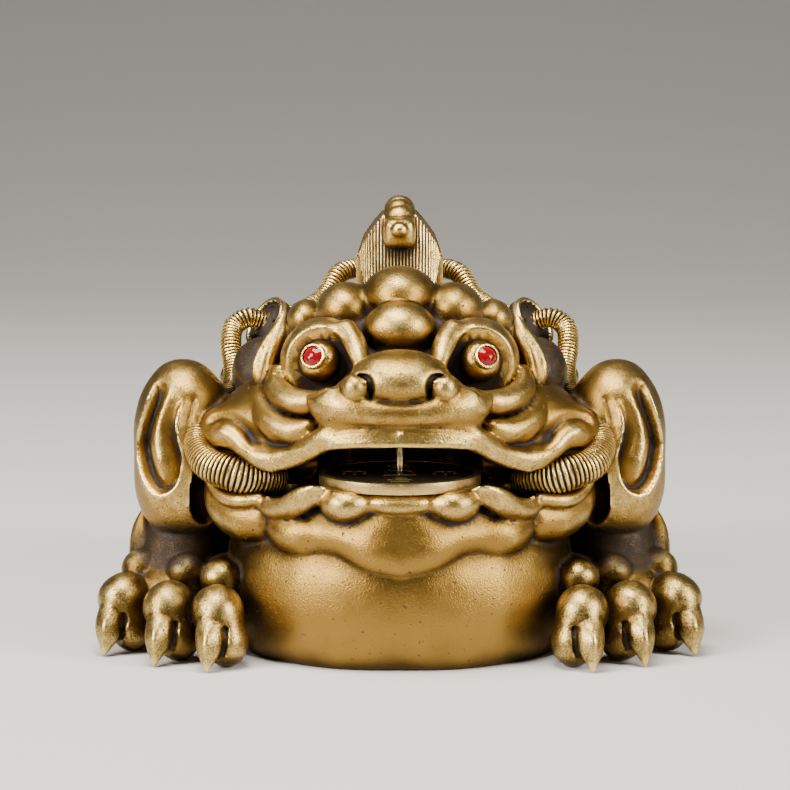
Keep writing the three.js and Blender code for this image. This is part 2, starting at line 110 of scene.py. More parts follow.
def face_on(x, y, z):
    """Where a point shows from the photograph's side: millimetres across and up, on a plane through the face."""
    sin, cos = math.sin(VIEW_RISE), math.cos(VIEW_RISE)
    y = y - VIEW_TARGET[1]
    z = z - VIEW_TARGET[2]
    scale = VIEW_DISTANCE / (VIEW_DISTANCE + y * cos - z * sin)
    return x * scale, (y * sin + z * cos) * scale


class Clay:
    """Clay on a grid of points. Each holds its distance from the surface, in millimetres, negative inside.
    It is the figure's left half, and the right half mirrors it."""

    def __init__(self, low, high, step):
        self.low = np.array(low, float)
        self.step = step
        self.count = [int(round((b - a) / step)) + 1 for a, b in zip(low, high)]
        self.depth = np.full(self.count, FAR, np.float32)

    def window(self, low, high):
        """The part of the grid inside a box, and the places of its points along X, Y and Z."""
        first = [min(n, max(0, int((a - o) / self.step))) for a, o, n in zip(low, self.low, self.count)]
        last = [max(0, min(n, int((b - o) / self.step) + 2)) for b, o, n in zip(high, self.low, self.count)]
        axes = [np.float32(o + self.step * np.arange(i, j)) for o, i, j in zip(self.low, first, last)]
        part = tuple(slice(i, j) for i, j in zip(first, last))
        return part, axes[0][:, None, None], axes[1][None, :, None], axes[2][None, None, :]

    def axes(self):
        x, y, z = (np.float32(o + self.step * np.arange(n)) for o, n in zip(self.low, self.count))
        return x[:, None, None], y[None, :, None], z[None, None, :]

    def merge(self, part, surface, soft, cut=False):
        old = self.depth[part]
        if cut:
            self.depth[part] = -soft_join(-old, surface, soft)
        else:
            self.depth[part] = soft_join(old, surface, soft)

    def apart(self, low, high):
        """Empty clay on the same grid, for a form that is modelled by itself and then joined on."""
        part, x, y, z = self.window(low, high)
        other = Clay((x.min(), y.min(), z.min()), (x.max(), y.max(), z.max()), self.step)
        other.home = part
        return other

    def take(self, other, soft):
        self.merge(other.home, other.depth, soft)

    def ball(self, centre, radii, turn=(0, 0, 0), soft=1.0, cut=False):
        """An ellipsoid, turned by degrees about X, Y and Z."""
        axes = np.array(Euler([math.radians(a) for a in turn], "XYZ").to_matrix())
        reach = np.sqrt(((axes * np.array(radii)) ** 2).sum(1)) + soft + 2 * self.step
        part, x, y, z = self.window(np.array(centre) - reach, np.array(centre) + reach)
        x, y, z = x - centre[0], y - centre[1], z - centre[2]
        near = np.float32(0)
        steep = np.float32(0)
        for axis, radius in zip(axes.T, radii):
            along = (axis[0] * x + axis[1] * y + axis[2] * z) / radius
            near = near + along ** 2
            steep = steep + (along / radius) ** 2
        near = np.sqrt(near)
        surface = near * (near - 1) / np.maximum(np.sqrt(steep), 1e-6)
        self.merge(part, surface.astype(np.float32), soft, cut)

    def within(self, centre, radii, soft):
        """Keeps what lies inside a block with strongly rounded sides."""
        near = sum(((v - c) / r) ** 4 for v, c, r in zip(self.axes(), centre, radii)) ** 0.25
        self.depth = -soft_join(-self.depth, -((near - 1) * min(radii)).astype(np.float32), soft)

    def cushion(self, centre, radii, soft=1.0):
        """A block with strongly rounded sides."""
        reach = np.array(radii) + soft + 2 * self.step
        part, *axes = self.window(np.array(centre) - reach, np.array(centre) + reach)
        near = sum(((v - c) / r) ** 4 for v, c, r in zip(axes, centre, radii)) ** 0.25
        self.merge(part, ((near - 1) * min(radii)).astype(np.float32), soft)

    def roll(self, waypoints, soft=1.0, cut=False):
        """A roll of clay through waypoints (x, y, z, radius)."""
        self.merge(*self.roll_surface(waypoints, soft), soft, cut)

    def roll_surface(self, waypoints, soft):
        path = smooth_path(waypoints, max(1.2, self.step * 2)).astype(np.float32)
        reach = path[:, 3].max() + soft + 2 * self.step
        part, x, y, z = self.window(path[:, :3].min(0) - reach, path[:, :3].max(0) + reach)
        surface = np.full((x.size, y.size, z.size), FAR, np.float32)
        for a, b in zip(path, path[1:]):
            near = max(a[3], b[3]) + soft + 2 * self.step
            low = np.minimum(a, b)[:3] - near
            high = np.maximum(a, b)[:3] + near
            ends = [np.searchsorted(u.ravel(), (lo, hi)) for u, lo, hi in zip((x, y, z), low, high)]
            box = tuple(slice(*pair) for pair in ends)
            dx, dy, dz = x[box[0]] - a[0], y[:, box[1]] - a[1], z[:, :, box[2]] - a[2]
            way = b[:3] - a[:3]
            t = np.clip((dx * way[0] + dy * way[1] + dz * way[2]) / max(way @ way, 1e-6), 0, 1)
            gap = np.sqrt((dx - t * way[0]) ** 2 + (dy - t * way[1]) ** 2 + (dz - t * way[2]) ** 2)
            gap -= a[3] + (b[3] - a[3]) * t
            np.minimum(surface[box], gap, out=surface[box])
        return part, surface

    def at(self, places, values=None):
        """The depth at any places, or another value of the grid, read between its points."""
        values = self.depth if values is None else values
        spot = (np.asarray(places, float) - self.low) / self.step
        spot = np.clip(spot, 0, np.array(self.count) - 1.001)
        base = spot.astype(int)
        part = spot - base
        total = 0
        for corner in np.ndindex(2, 2, 2):
            share = np.prod(np.where(corner, part, 1 - part), axis=-1)
            i, j, k = (base + corner)[..., 0], (base + corner)[..., 1], (base + corner)[..., 2]
            total = total + share * values[i, j, k]
        return total

    def lay(self, waypoints, reach=22.0):
        """The same line pressed against the surface, along the sight lines of the photograph."""
        eye = np.array(VIEW_TARGET) + VIEW_DISTANCE * np.array([0, -math.cos(VIEW_RISE), math.sin(VIEW_RISE)])
        points = np.array(waypoints, float)[:, :3]
        steps = np.arange(-reach, reach, self.step * 0.6)
        ray = points - eye
        ray /= np.linalg.norm(ray, axis=1, keepdims=True)
        trail = points[:, None, :] + ray[:, None, :] * steps[:, None]
        depth = self.at(trail)
        inside = depth < 0
        hit = np.where(inside.any(1), inside.argmax(1), depth.argmin(1))
        return trail[np.arange(len(points)), hit]

    def chase(self, waypoints, profile, margin=5.0, facing=None):
        """Works a line into the surface, drawn as it is seen from the front.
        profile takes the distance beside the line, positive to its right, and the share of its length.
        The distance is measured square to the way that the surface faces there."""
        line = smooth_path(self.lay(waypoints), 1.2).astype(np.float32)
        facing = np.array(Vector(facing or (0, -math.cos(VIEW_RISE), math.sin(VIEW_RISE))).normalized())
        right = np.cross((0, 0, 1), facing) * -1
        right /= np.linalg.norm(right)
        up = np.cross(right, facing) * -1
        up *= np.sign(up[2])
        if right[0] < 0:
            right = -right
        part, x, y, z = self.window(line.min(0) - margin, line.max(0) + margin)
        across = right[0] * x + right[1] * y + right[2] * z
        above = up[0] * x + up[1] * y + up[2] * z
        flat = np.stack([line @ right, line @ up], axis=1).astype(np.float32)
        beside, share = line_gap(flat, across, above)
        self.depth[part] -= profile(beside, share).astype(np.float32)

    def face_window(self, waypoints, margin, deep):
        """The clay behind a line drawn on the front of the figure, and where each point of it shows."""
        points = np.array(waypoints, float)
        low = points[:, :3].min(0) - (margin, deep, margin)
        high = points[:, :3].max(0) + (margin, deep, margin)
        part, x, y, z = self.window(low, high)
        across, up = face_on(x, y, z)
        return part, np.broadcast_to(across, np.broadcast_shapes(x.shape, across.shape)), up, (x, y, z)

    def engrave(self, waypoints, half_widths, deep_cut, soft=0.3, margin=4.0, deep=7.0):
        """Cuts a groove with steep sides, drawn as it is seen from the front."""
        part, across, up, _ = self.face_window(waypoints, margin, deep)
        flat = np.stack(face_on(*np.array(waypoints, float)[:, :3].T), axis=1)
        beside, share = line_gap(smooth_path(flat, 1.0).astype(np.float32), across, up)
        width = np.interp(share, np.linspace(0, 1, len(half_widths)), half_widths)
        old = self.depth[part]
        groove = np.minimum(width - np.abs(beside), old + deep_cut)
        self.depth[part] = -soft_join(-old, -groove.astype(np.float32), soft)


def line_gap(path, across, up):
    """The signed distance from each point to a flat line, and the share along the line where it is nearest."""
    shape = np.broadcast_shapes(across.shape, up.shape)
    best = np.full(shape, 1e6, np.float32)
    side = np.ones(shape, np.float32)
    share = np.zeros(shape, np.float32)
    last = len(path) - 1
    for i, (a, b) in enumerate(zip(path, path[1:])):
        way = b - a
        u, v = across - a[0], up - a[1]
        t = np.clip((u * way[0] + v * way[1]) / max(way @ way, 1e-9), 0, 1)
        gap = (u - t * way[0]) ** 2 + (v - t * way[1]) ** 2
        nearer = gap < best
        best = np.where(nearer, gap, best)
        side = np.where(nearer, np.sign(u * way[1] - v * way[0]), side)
        share = np.where(nearer, (i + t) / last, share)
    return np.sqrt(best) * np.where(side == 0, 1, side), share


def outline_gap(corners, across, up):
    """The signed distance to a closed outline, negative inside."""
    shape = np.broadcast_shapes(across.shape, up.shape)
    best = np.full(shape, 1e6, np.float32)
    inside = np.zeros(shape, bool)
    for a, b in zip(corners, np.roll(corners, -1, axis=0)):
        way = b - a
        u, v = across - a[0], up - a[1]
        t = np.clip((u * way[0] + v * way[1]) / max(way @ way, 1e-9), 0, 1)
        best = np.minimum(best, (u - t * way[0]) ** 2 + (v - t * way[1]) ** 2)
        if a[1] != b[1]:
            crosses = (up > min(a[1], b[1])) & (up <= max(a[1], b[1]))
            left = across < a[0] + (up - a[1]) * way[0] / way[1]
            inside ^= crosses & left
    return np.sqrt(best) * np.where(inside, -1, 1)


def bell(distance, width):
    return np.exp(-(distance / width) ** 2)


def ends_fade(share, start=0.12, end=0.12):
    """1 along a line, and 0 at its two ends."""
    rise = np.clip(share / max(start, 1e-6), 0, 1)
    fall = np.clip((1 - share) / max(end, 1e-6), 0, 1)
    both = np.minimum(rise, fall)
    return both * both * (3 - 2 * both)


# The toad

def body(clay):
    clay.ball((0, 10, 36), (54, 62, 47), soft=4)
    clay.ball((0, -6, 62), (38, 30, 22), soft=10)
    belly = clay.apart((0, -80, -2), (50, 24, 54))
    belly.ball((0, -28, 14), (46.6, 47.6, 36), soft=0)
    belly.within((0, -24, 27), (43.4, 51.6, 35), 1.5)
    clay.take(belly, 2)
    clay.ball((42, -12, 24), (12, 18, 18), soft=3)


TOES = [
    {"knuckle": (65, -36.4, 19), "ball": (69, -44.8, 13.2), "pad": (66.6, -46.6, 6.0), "root": (71.6, -48.8, 11.8),
     "tip": (73.4, -53.8, 1.0)},
    {"knuckle": (53.6, -42.4, 18.8), "ball": (57, -56, 13.2), "pad": (54.6, -58, 6.0), "root": (58.6, -61, 12),
     "tip": (60, -66.2, 0.9)},
    {"knuckle": (44.6, -50.6, 19), "ball": (44.6, -62.6, 13.2), "pad": (42.4, -64.8, 6.0), "root": (46.2, -67.8, 12),
     "tip": (46.8, -72.8, 0.9)},
]
CLAW_FRONT = np.array((0.12, -0.9, 0.42))
CUTICLE = 0.8


def toe(clay, knuckle, ball, pad, root, tip):
    """A knuckle, a round ball of flesh with its pad on the ground, and a ridged claw set into its front."""
    knuckle, ball, pad, root, tip = (np.array(p, float) for p in (knuckle, ball, pad, root, tip))
    behind = knuckle + (knuckle - ball) * (1, 1, 0)
    clay.roll([(*behind, 4.2), (*knuckle, 4.6)], soft=1)
    clay.ball(knuckle, (5.2, 5.4, 5.0), soft=0.3)
    heading = math.degrees(math.atan2(ball[0] - knuckle[0], knuckle[1] - ball[1]))
    flesh = clay.apart(ball - 15, ball + 15)
    flesh.ball(ball, (6.5, 7.6, 6.4), turn=(12, 0, heading), soft=0)
    flesh.ball(pad, (5.6, 6.6, 6.0), turn=(0, 0, heading), soft=3)
    middle = (root + tip) / 2 + CLAW_FRONT * 0.9
    inner = np.array((-3.4, 0.4, 0))
    flesh.roll([(*(middle + inner + (0.2, 0, 2.4)), 0.3), (*(tip + inner + (-0.2, -1, 0.4)), 1.7)], soft=0.4, cut=True)
    part, surface = flesh.roll_surface([(*(root + (-0.2, 1.7, 1)), 3.3), (*(middle + (-0.2, 0.8, 0)), 3.4), (*tip, 0.6)], 1)
    x, _, z = flesh.axes()
    off_side = np.maximum(x[part[0]] - root[0] - 1.4, z[:, :, part[2]] - root[2] + 1)
    groove = np.maximum(np.maximum(np.abs(surface - 0.4) - CUTICLE, -1.0 - flesh.depth[part]), off_side)
    flesh.merge(part, groove, 0.5, True)
    flesh.merge(part, surface, 0.1)
    flesh.roll([(*(root + CLAW_FRONT * 0.2), 0.6), (*(middle + CLAW_FRONT * 2.8), 0.6), (*(tip + CLAW_FRONT * 0.4), 0.3)], soft=1.6)
    clay.take(flesh, 0.3)


def arm(clay):
    upper = clay.apart((36, -46, 20), (76, 0, 78))
    upper.ball((54.2, -25, 50.5), (13.4, 16, 20.5), turn=(0, 5, 0), soft=0)
    upper.ball((54.8, -30.6, 38.6), (11.6, 12.2, 13), soft=7)
    upper.ball((48.6, -40, 38.4), (4.6, 6, 8.4), soft=0.4, cut=True)
    carve_arm(upper)
    clay.take(upper, 0.6)


def wrist(clay):
    clay.roll([(52, -20, 36, 10.5), (54.4, -26.5, 27, 9.8), (56, -32, 17, 10.5)], soft=0.8)
    clay.ball((56.5, -35, 12), (14, 13, 10.5), soft=3)
    clay.roll([(65.2, -24.6, 32.6, 0.8), (65.8, -26, 27.4, 2.6), (64, -29, 21, 5)], soft=0.6)


def carve_arm(clay):
    """A long loop cut into the front of the upper arm, open at the top, with a flame tip and a slit beside it."""
    loop = [(60.6, -28, 67), (61.6, -34, 62.7), (63, -38, 58.4), (64.3, -38, 53.7), (64.7, -38, 50.8), (64.2, -38, 46.3),
            (62.8, -38, 42.2), (60.4, -39, 39.8), (57.6, -40, 41.1), (56.2, -41, 45.3), (56, -41, 48.6),
            (56.7, -41, 51.2), (57.3, -41, 55.3), (57, -41, 59), (55.4, -41, 62.4), (52.8, -40, 64.6)]

    def groove(beside, share):
        fade = ends_fade(share, 0.12, 0.2)
        inner = np.where(beside < 0, bell(beside, 0.9), bell(beside, 2.6))
        return fade * (0.8 * bell(beside + 1.9, 0.8) - 2.7 * inner)

    clay.chase(loop, groove, margin=6, facing=(0.5, -0.86, 0.1))
    slit = [(51.4, -40, 64.4), (52.9, -40, 61), (53.3, -40, 57.4), (52.8, -40, 54.2)]
    clay.chase(slit, lambda beside, share: -1.3 * ends_fade(share, 0.3, 0.4) * bell(beside, 0.95), facing=(0.5, -0.86, 0.1))


def skull(clay):
    clay.ball((0, -20, 64), (33, 33, 22), soft=4)
    clay.ball((35, -20, 67), (8, 12, 9), soft=2)
    clay.ball((27, -34, 57), (19.5, 19, 12.6), turn=(0, 10, 35), soft=3)
    clay.ball((0, -50, 64), (17, 18, 11), soft=3)
    clay.ball((24, -18, 80.5), (5, 7, 5), soft=1)
    clay.ball((13.6, -28, 83.9), (7.6, 10, 7.0), soft=2.5)
    clay.ball((0, -30, 87.8), (9.2, 11, 7.4), soft=2.5)
    clay.ball((0, -43, 80.6), (9.0, 8.8, 6.8), soft=1.6)


def cheek(clay):
    wing = clay.apart((18, -60, 40), (60, -20, 70))
    wing.ball((36, -41, 56.2), (16, 9, 7.4), turn=(0, 14, 33), soft=0)
    wing.ball((41.8, -45.6, 53.6), (5.6, 4.6, 4.2), soft=1.5)
    clay.take(wing, 1.5)


def upper_lip(clay):
    clay.roll([
        (24, -57, 53.6, 3.0), (29.5, -52.6, 51.8, 3.8), (35, -48.2, 53, 4.4), (40, -44.8, 55.4, 4.4), (45, -40.8, 56.6, 3.4),
    ], soft=4)
    clay.roll([
        (0, -70.4, 58.6, 3.2), (9, -69.4, 58.6, 3.2), (16.5, -66.4, 57.2, 3.3), (21.5, -63, 54, 3.0),
        (26.4, -59.4, 51.2, 2.9), (31.3, -56, 49.6, 3.1), (36, -52.4, 50.8, 3.4), (40.5, -48.2, 53.6, 3.4),
        (45, -43.5, 54.6, 3.2), (49, -39.5, 53.2, 2.4),
    ], soft=1.5)
    clay.roll([
        (0, -73, 56.2, 1.1), (9, -72, 56.1, 1.1), (16.2, -69.2, 55.2, 1.1), (19.8, -66.2, 53.4, 1.1), (23, -63.6, 51.2, 1.1),
        (27, -60.4, 49.0, 1.2), (31.5, -57.6, 47.4, 1.3), (35.6, -54.4, 48.4, 1.2), (39, -51.2, 50.4, 1.1),
        (41.6, -49, 52, 1.0), (45, -45, 51.9, 1.0), (48.4, -41.2, 51, 0.8),
    ], soft=0.9)
    arch = [(35.2, -51, 50.4), (36.2, -50, 52.8), (38.2, -48, 55.8), (40.8, -45, 57.6), (43.9, -42, 57.9), (47, -40, 56.4),
            (48.6, -39, 53.5)]
    clay.chase(arch, lambda beside, share: ends_fade(share, 0.25, 0.2) * (
        0.8 * bell(beside - 3.2, 2) - 1.3 * np.where(beside > 0, bell(beside, 0.8), bell(beside, 1.6))))


def muzzle(clay):
    clay.roll([
        (0, -70.6, 62.8, 3.5), (6, -70.4, 62.9, 3.7), (11.5, -67.4, 63.8, 5.1), (15.4, -63, 64.2, 6.5), (16.6, -57.4, 65.6, 5.8),
    ], soft=0.5)
    pad = [(0, -74, 59.6), (6, -73, 59.8), (11, -71, 59.4), (16, -68, 58.2), (20, -64, 57.2)]
    clay.chase(pad, lambda beside, share: -0.8 * ends_fade(share, 0, 0.25) * bell(beside, 0.9))


def nose(clay):
    clay.ball((0, -64.8, 71.2), (12.4, 9.8, 6.3), turn=(14, 0, 0), soft=0.7)
    clay.ball((10.8, -68.6, 69), (3.5, 4.2, 3.8), soft=0.4)


def nostril(clay):
    comma = [(10.6, -70, 72.2), (8.8, -71, 72.5), (7.3, -72, 71.4), (6.9, -73, 69), (7.2, -73, 66.8)]
    clay.engrave(comma, [0.1, 0.45, 0.7, 0.6, 0.2], 1.9, soft=0.6, deep=8)


EYE_CENTRE = Vector((19.7, -48.5, 73.1))
EYE_RADIUS = 5.1
GEM_AXIS = Vector((0.34, -0.86, 0.38)).normalized()
GEM_PLACE = EYE_CENTRE + GEM_AXIS * EYE_RADIUS
GEM_RADIUS = 2.4
GEM_SEAT = 1.0
CUP_RIM = [
    (11.4, -54, 72.6), (13, -52, 76.2), (15.9, -49, 80), (20.5, -47, 82.5), (24.2, -46, 80.9), (27, -45, 77), (28.9, -44, 72.1),
    (29.4, -44, 67), (25, -48, 65.6), (20, -52, 65.2), (15.4, -53, 68),
]


def eye(clay):
    """A cup round the eye, with a rim that is drawn out to a point beside the nose, and two bags under it."""
    hood = clay.apart((4, -62, 58), (36, -26, 90))
    hood.ball((19.2, -42.6, 73), (10.4, 11.6, 10.6), soft=0)
    hood.roll([(13, -46.8, 80.4, 3), (10.9, -51.6, 77.2, 3), (9.7, -56.4, 73, 2.4)], soft=2)
    clay.take(hood, 0.6)
    dish(clay)
    clay.roll([
        (30.6, -42.6, 69.4, 2.2), (30.4, -47.6, 66, 3.2), (27.4, -52.4, 64, 3.8), (23.4, -56, 63.6, 3.6),
        (19.8, -58.4, 64.6, 2.7), (17.6, -59.6, 66.6, 1.6),
    ], soft=0.2)
    clay.roll([
        (35, -42.8, 64.4, 2.3), (33.6, -48.6, 60.4, 3.3), (30, -54, 57.6, 3.9), (26.2, -57.6, 57, 3.6),
        (22.6, -60.4, 58.2, 2.6),
    ], soft=0.2)
    for crease in ([(17, -61, 62.6), (21, -59, 60.6), (25.4, -56, 60.4), (29.4, -52, 61.8), (32.2, -47, 64.2)],
                   [(21.4, -60, 55.6), (24.6, -58, 53.8), (28, -56, 53.4), (31.6, -52, 55.2), (34.4, -47, 58.6)]):
        clay.chase(crease, lambda beside, share: -0.45 * ends_fade(share, 0.2, 0.25) * bell(beside, 0.8))


def dish(clay):
    """Sinks the inside of the cup: a shallow dish round the eyeball, and a steep wall beside the nose."""
    part, across, up, (x, y, z) = clay.face_window(CUP_RIM, 6, 12)
    corners = np.stack(face_on(*np.array(CUP_RIM, float).T), axis=1)
    corners = smooth_path(np.vstack([corners, corners[:1]]), 0.6)[:-1].astype(np.float32)
    rim = outline_gap(corners, across, up) / 1.02
    ring = np.hypot(x - EYE_CENTRE[0], z - EYE_CENTRE[2]) - EYE_RADIUS
    floor_of_dish = -47.9 - np.maximum(ring, -0.4) / 3
    clay.merge(part, np.maximum(rim, y - floor_of_dish).astype(np.float32), 0.5, True)


def eyeball(clay):
    """The ball of the eye, drilled where its stone is set."""
    clay.ball(EYE_CENTRE, (EYE_RADIUS,) * 3, soft=0.15)
    part, x, y, z = clay.window(EYE_CENTRE - Vector((9, 9, 9)), EYE_CENTRE + Vector((9, 9, 9)))
    x, y, z = x - GEM_PLACE.x, y - GEM_PLACE.y, z - GEM_PLACE.z
    along = GEM_AXIS.x * x + GEM_AXIS.y * y + GEM_AXIS.z * z
    aside = np.sqrt(np.maximum(x ** 2 + y ** 2 + z ** 2 - along ** 2, 0))
    drill = np.maximum(aside - GEM_RADIUS - 0.45, -1.6 - along)
    clay.merge(part, drill.astype(np.float32), 0, True)


def ear(clay):
    """A hollowed leaf that stands up behind the cup of the eye, and a small ball beside it."""
    leaf = clay.apart((18, -50, 56), (46, -8, 92))
    leaf.roll([
        (33.8, -39.4, 65.4, 1.6), (34, -39, 69.2, 3.1), (32.8, -37.4, 73.6, 3.2), (30.8, -35.2, 78.4, 2.3), (29.4, -33, 83, 0.5),
    ], soft=0)
    leaf.roll([(36.3, -42.4, 67.4, 1.4), (35.9, -42.4, 70.6, 2.2), (34.7, -41, 74.6, 2), (32.5, -38.8, 78.4, 1)], soft=1, cut=True)
    clay.take(leaf, 0.2)
    clay.ball((38, -27, 67), (2.7, 3.6, 4.0), soft=0.4)


def jaw(clay):
    clay.ball((0, -34, 37), (45, 30, 10), soft=3)
    clay.ball((0, -56, 36), (26, 16, 8), soft=3)


def bib(clay):
    """The fold of skin that hangs from the chin over the belly, in three lobes."""
    fold = clay.apart((0, -82, 16), (40, -36, 52))
    fold.ball((0, -58.4, 36), (22, 14, 7), soft=0)
    fold.ball((0, -61.4, 33.6), (15.4, 13.8, 9.8), turn=(14, 0, 0), soft=4)
    fold.roll([
        (0, -71.3, 27.4, 4.6), (7, -70.4, 29, 4.6), (13.6, -66.8, 31.6, 4.4), (18.6, -63.6, 32, 4.8),
        (24.6, -60.2, 31.6, 5.6), (28.4, -56.4, 33, 4.6), (30.6, -53, 35.4, 3),
    ], soft=3)
    clay.take(fold, 0.4)


def lower_lip(clay):
    clay.roll([
        (46.6, -39, 42, 2.4), (44, -43, 36.8, 4.6), (39, -47.4, 34, 5.7), (33.8, -51.2, 33.8, 5.4),
    ], soft=0.5)
    clay.roll([
        (34.6, -55, 39.6, 1.6), (39, -52.8, 38.9, 1.9), (43.2, -49.4, 39.1, 1.9), (46.2, -45.2, 41, 1.7),
        (48.4, -41.6, 43.8, 1.2),
    ], soft=0.3)
    lobes = clay.apart((0, -82, 30), (40, -50, 50))
    lobes.ball((12.8, -67.8, 40.8), (6.8, 7.4, 4.7), soft=0)
    lobes.ball((0, -68.4, 41.2), (10, 6.6, 3.5), soft=1.5)
    clay.take(lobes, 0.4)
    front = clay.apart((12, -76, 30), (38, -48, 50))
    front.roll([
        (17.8, -67.4, 43, 2.0), (21.4, -66.8, 42.4, 2.6), (24.6, -64.4, 40.6, 3.0), (28, -61, 38.4, 3.0),
        (30.8, -58, 37.6, 2.6), (33.2, -55.2, 38.4, 1.9),
    ], soft=0)
    front.roll([
        (18.6, -69.2, 44.8, 0.5), (20.8, -69.4, 45, 0.6), (23.8, -67.6, 43.9, 0.7), (26.8, -64.6, 41.6, 0.7),
        (29.4, -61.6, 40, 0.6), (32.8, -57.6, 40.6, 0.5),
    ], soft=1.6)
    clay.take(front, 0.25)


MOUTH_OUTLINE = [
    (0, -74, 55.0), (9, -73, 54.9), (16.2, -70, 54.1), (19.4, -66, 52.2), (22.5, -62, 50.3), (26.6, -58, 48.0),
    (31.7, -54, 46.1), (36.2, -51, 47.2), (39.2, -49, 49.2), (42, -47, 51), (45, -44, 51),
    (48, -42, 46), (44.5, -48, 43), (40, -52, 42.2), (34.4, -56, 42.4), (31.6, -56, 40.6),
    (29, -58, 41), (26, -61, 43.5), (22, -65, 45.6), (18.7, -67, 45.5), (14, -72, 44.4), (0, -74, 44.2),
]


def mouth(clay):
    """The open mouth: what the two lips leave free, cut back to the throat in the middle."""
    part, x, y, z = clay.window((0, -90, 38), (50, -30, 60))
    across, up = face_on(x, y, z)
    corners = np.stack(face_on(*np.array(MOUTH_OUTLINE, float).T), axis=1)
    gap = outline_gap(corners.astype(np.float32), across, up)
    slope = np.interp(x, [0, 17, 24, 32, 50], [-36, -40, -52, -47, -36]).astype(np.float32)
    clay.merge(part, np.maximum(gap, y - slope).astype(np.float32), 0.5, True)


STRING = [
    (30, -46, 43, 4.0), (35.6, -50.4, 44.2, 4.3), (41.2, -51.8, 45.6, 4.4), (47.4, -48.6, 47.6, 4.2), (50.6, -42.4, 51.4, 3.4), (49.4, -36, 55.4, 3.0),
    (45.4, -24, 59.2, 2.6), (43, -16, 62.6, 2.7), (42.9, -11, 67.4, 2.8), (43.8, -7.5, 72, 2.8),
    (43.4, -3.5, 76.6, 2.8), (39.8, -1.8, 79, 2.7), (35.5, -0.5, 78, 2.5),
]
BACK_STRING = [
    (0, 32, 88.6, 2.8), (8, 31, 88.8, 2.8), (15.6, 25, 88.4, 2.8), (20.6, 18, 82, 2.8), (28, 10, 78.5, 2.8), (35, 1, 76.5, 2.8),
]
STRING_PITCH = 0.95
STRING_GROOVE = 0.62
RIB_PITCH = 0.86
RIB_RISE = 0.4
CREST_LEVELS = [(80, 11.3, -11, 34), (88, 11.3, -8.4, 34), (94, 11.2, -5.4, 33), (98.4, 9.6, -2.4, 31), (102, 7.2, 0.6, 28),
                (105.4, 4.4, 4, 25)]
SPINE = [
    (0, 4.6, 104.8, 4.0), (0, 12, 105.9, 3.9), (0, 21, 105.2, 3.9), (0, 30, 100, 3.9),
    (0, 35, 90, 3.9), (0, 40, 79.6, 3.9), (0, 50, 72.5, 3.8), (0, 60, 63, 3.5), (0, 67, 50, 3.2),
]
SHOULDER_COIN = (35.5, -0.5, 78)
SHOULDER_AXIS = Vector((0.74, -0.4, 0.54)).normalized()


def back_string():
    """The whole string over the back, from one shoulder to the other."""
    return [(-x, y, z, r) for x, y, z, r in reversed(BACK_STRING[1:])] + BACK_STRING


def crest_core(clay):
    part, x, y, z = clay.window((0, -14, 74), (16, 40, 110))
    half, near, far = crest_section(z)
    _, base_half, front, back = CREST_LEVELS[0]
    ring = ((x / base_half) ** 4 + ((y - (front + back) / 2) / ((back - front) / 2)) ** 4) ** 0.25
    ends = np.maximum(np.maximum(near - y, y - far), x - half) + RIB_RISE
    surface = np.maximum(np.maximum(ends, (ring - 1) * base_half + RIB_RISE), z - CREST_LEVELS[-1][0])
    clay.merge(part, surface.astype(np.float32), 0.8)


def crest_section(z):
    """The crest's half width at a height, and where its front and back are."""
    heights = [level[0] for level in CREST_LEVELS]
    return [np.interp(z, heights, [level[i] for level in CREST_LEVELS]) for i in (1, 2, 3)]


def spine(clay):
    """Rounded plates that overlap like scales along the top of the crest and down the back."""
    plates = smooth_path(SPINE, 6.2)
    for a, b in zip(plates, plates[1:]):
        middle, way = (a + b) / 2, Vector((b - a)[:3])
        tilt = math.degrees(math.atan2(way.z, way.y))
        clay.ball(middle[:3], (middle[3] + 0.2, 4.1, middle[3] + 0.2), turn=(tilt - 10, 0, 0), soft=0.2)
    clay.ball((0, 2.6, 104.2), (4.0, 3.4, 3.8), soft=0.2)
    clay.cushion((0, -1.4, 101.4), (4.1, 5.4, 3.9), soft=0.2)
    clay.ball((0.3, -6.9, 102.4), (1.9, 1.8, 1.9), soft=0.2)


def hind_leg(clay):
    clay.ball((0, 56, 26), (30, 20, 25), soft=3)
    clay.ball((0, 64, 9), (17, 13, 9), soft=3)
    for fan in (0, 26):
        sin, cos = math.sin(math.radians(fan)), math.cos(math.radians(fan))
        way = [(sin * d, 58 + cos * d, z, r) for d, z, r in
               ((6, 14, 4.4), (11.4, 9, 3.9), (16.4, 6.4, 5.6), (19.4, 3.6, 3.4), (22.6, 1.2, 0.5))]
        clay.roll(way, soft=0.8)


def bosses(clay):
    for tilt in (32, 58):
        for along in (24, 44):
            rise, out = math.cos(math.radians(tilt)), math.sin(math.radians(tilt))
            girth = math.sqrt(1 - ((along - 10) / 62) ** 2)
            clay.ball((53 * out * girth, along, 36 + 46 * rise * girth), (4.8, 4.8, 4.8), soft=1.6)


def wobble(clay):
    """The slight unevenness of a thing modelled by hand."""
    chance = np.random.default_rng(5)
    part, x, y, z = clay.window(CLAY_LOW, CLAY_HIGH)
    for size, height in ((17, 0.12), (9, 0.08)):
        for _ in range(3):
            way = chance.normal(size=3)
            way *= 2 * math.pi / size / np.linalg.norm(way)
            turn = chance.uniform(0, 6.28, 3)
            clay.depth += np.float32(height) * np.sin(way[0] * x + turn[0]).astype(np.float32) * \
                np.sin(way[1] * y + turn[1]).astype(np.float32) * np.sin(way[2] * z + turn[2]).astype(np.float32)


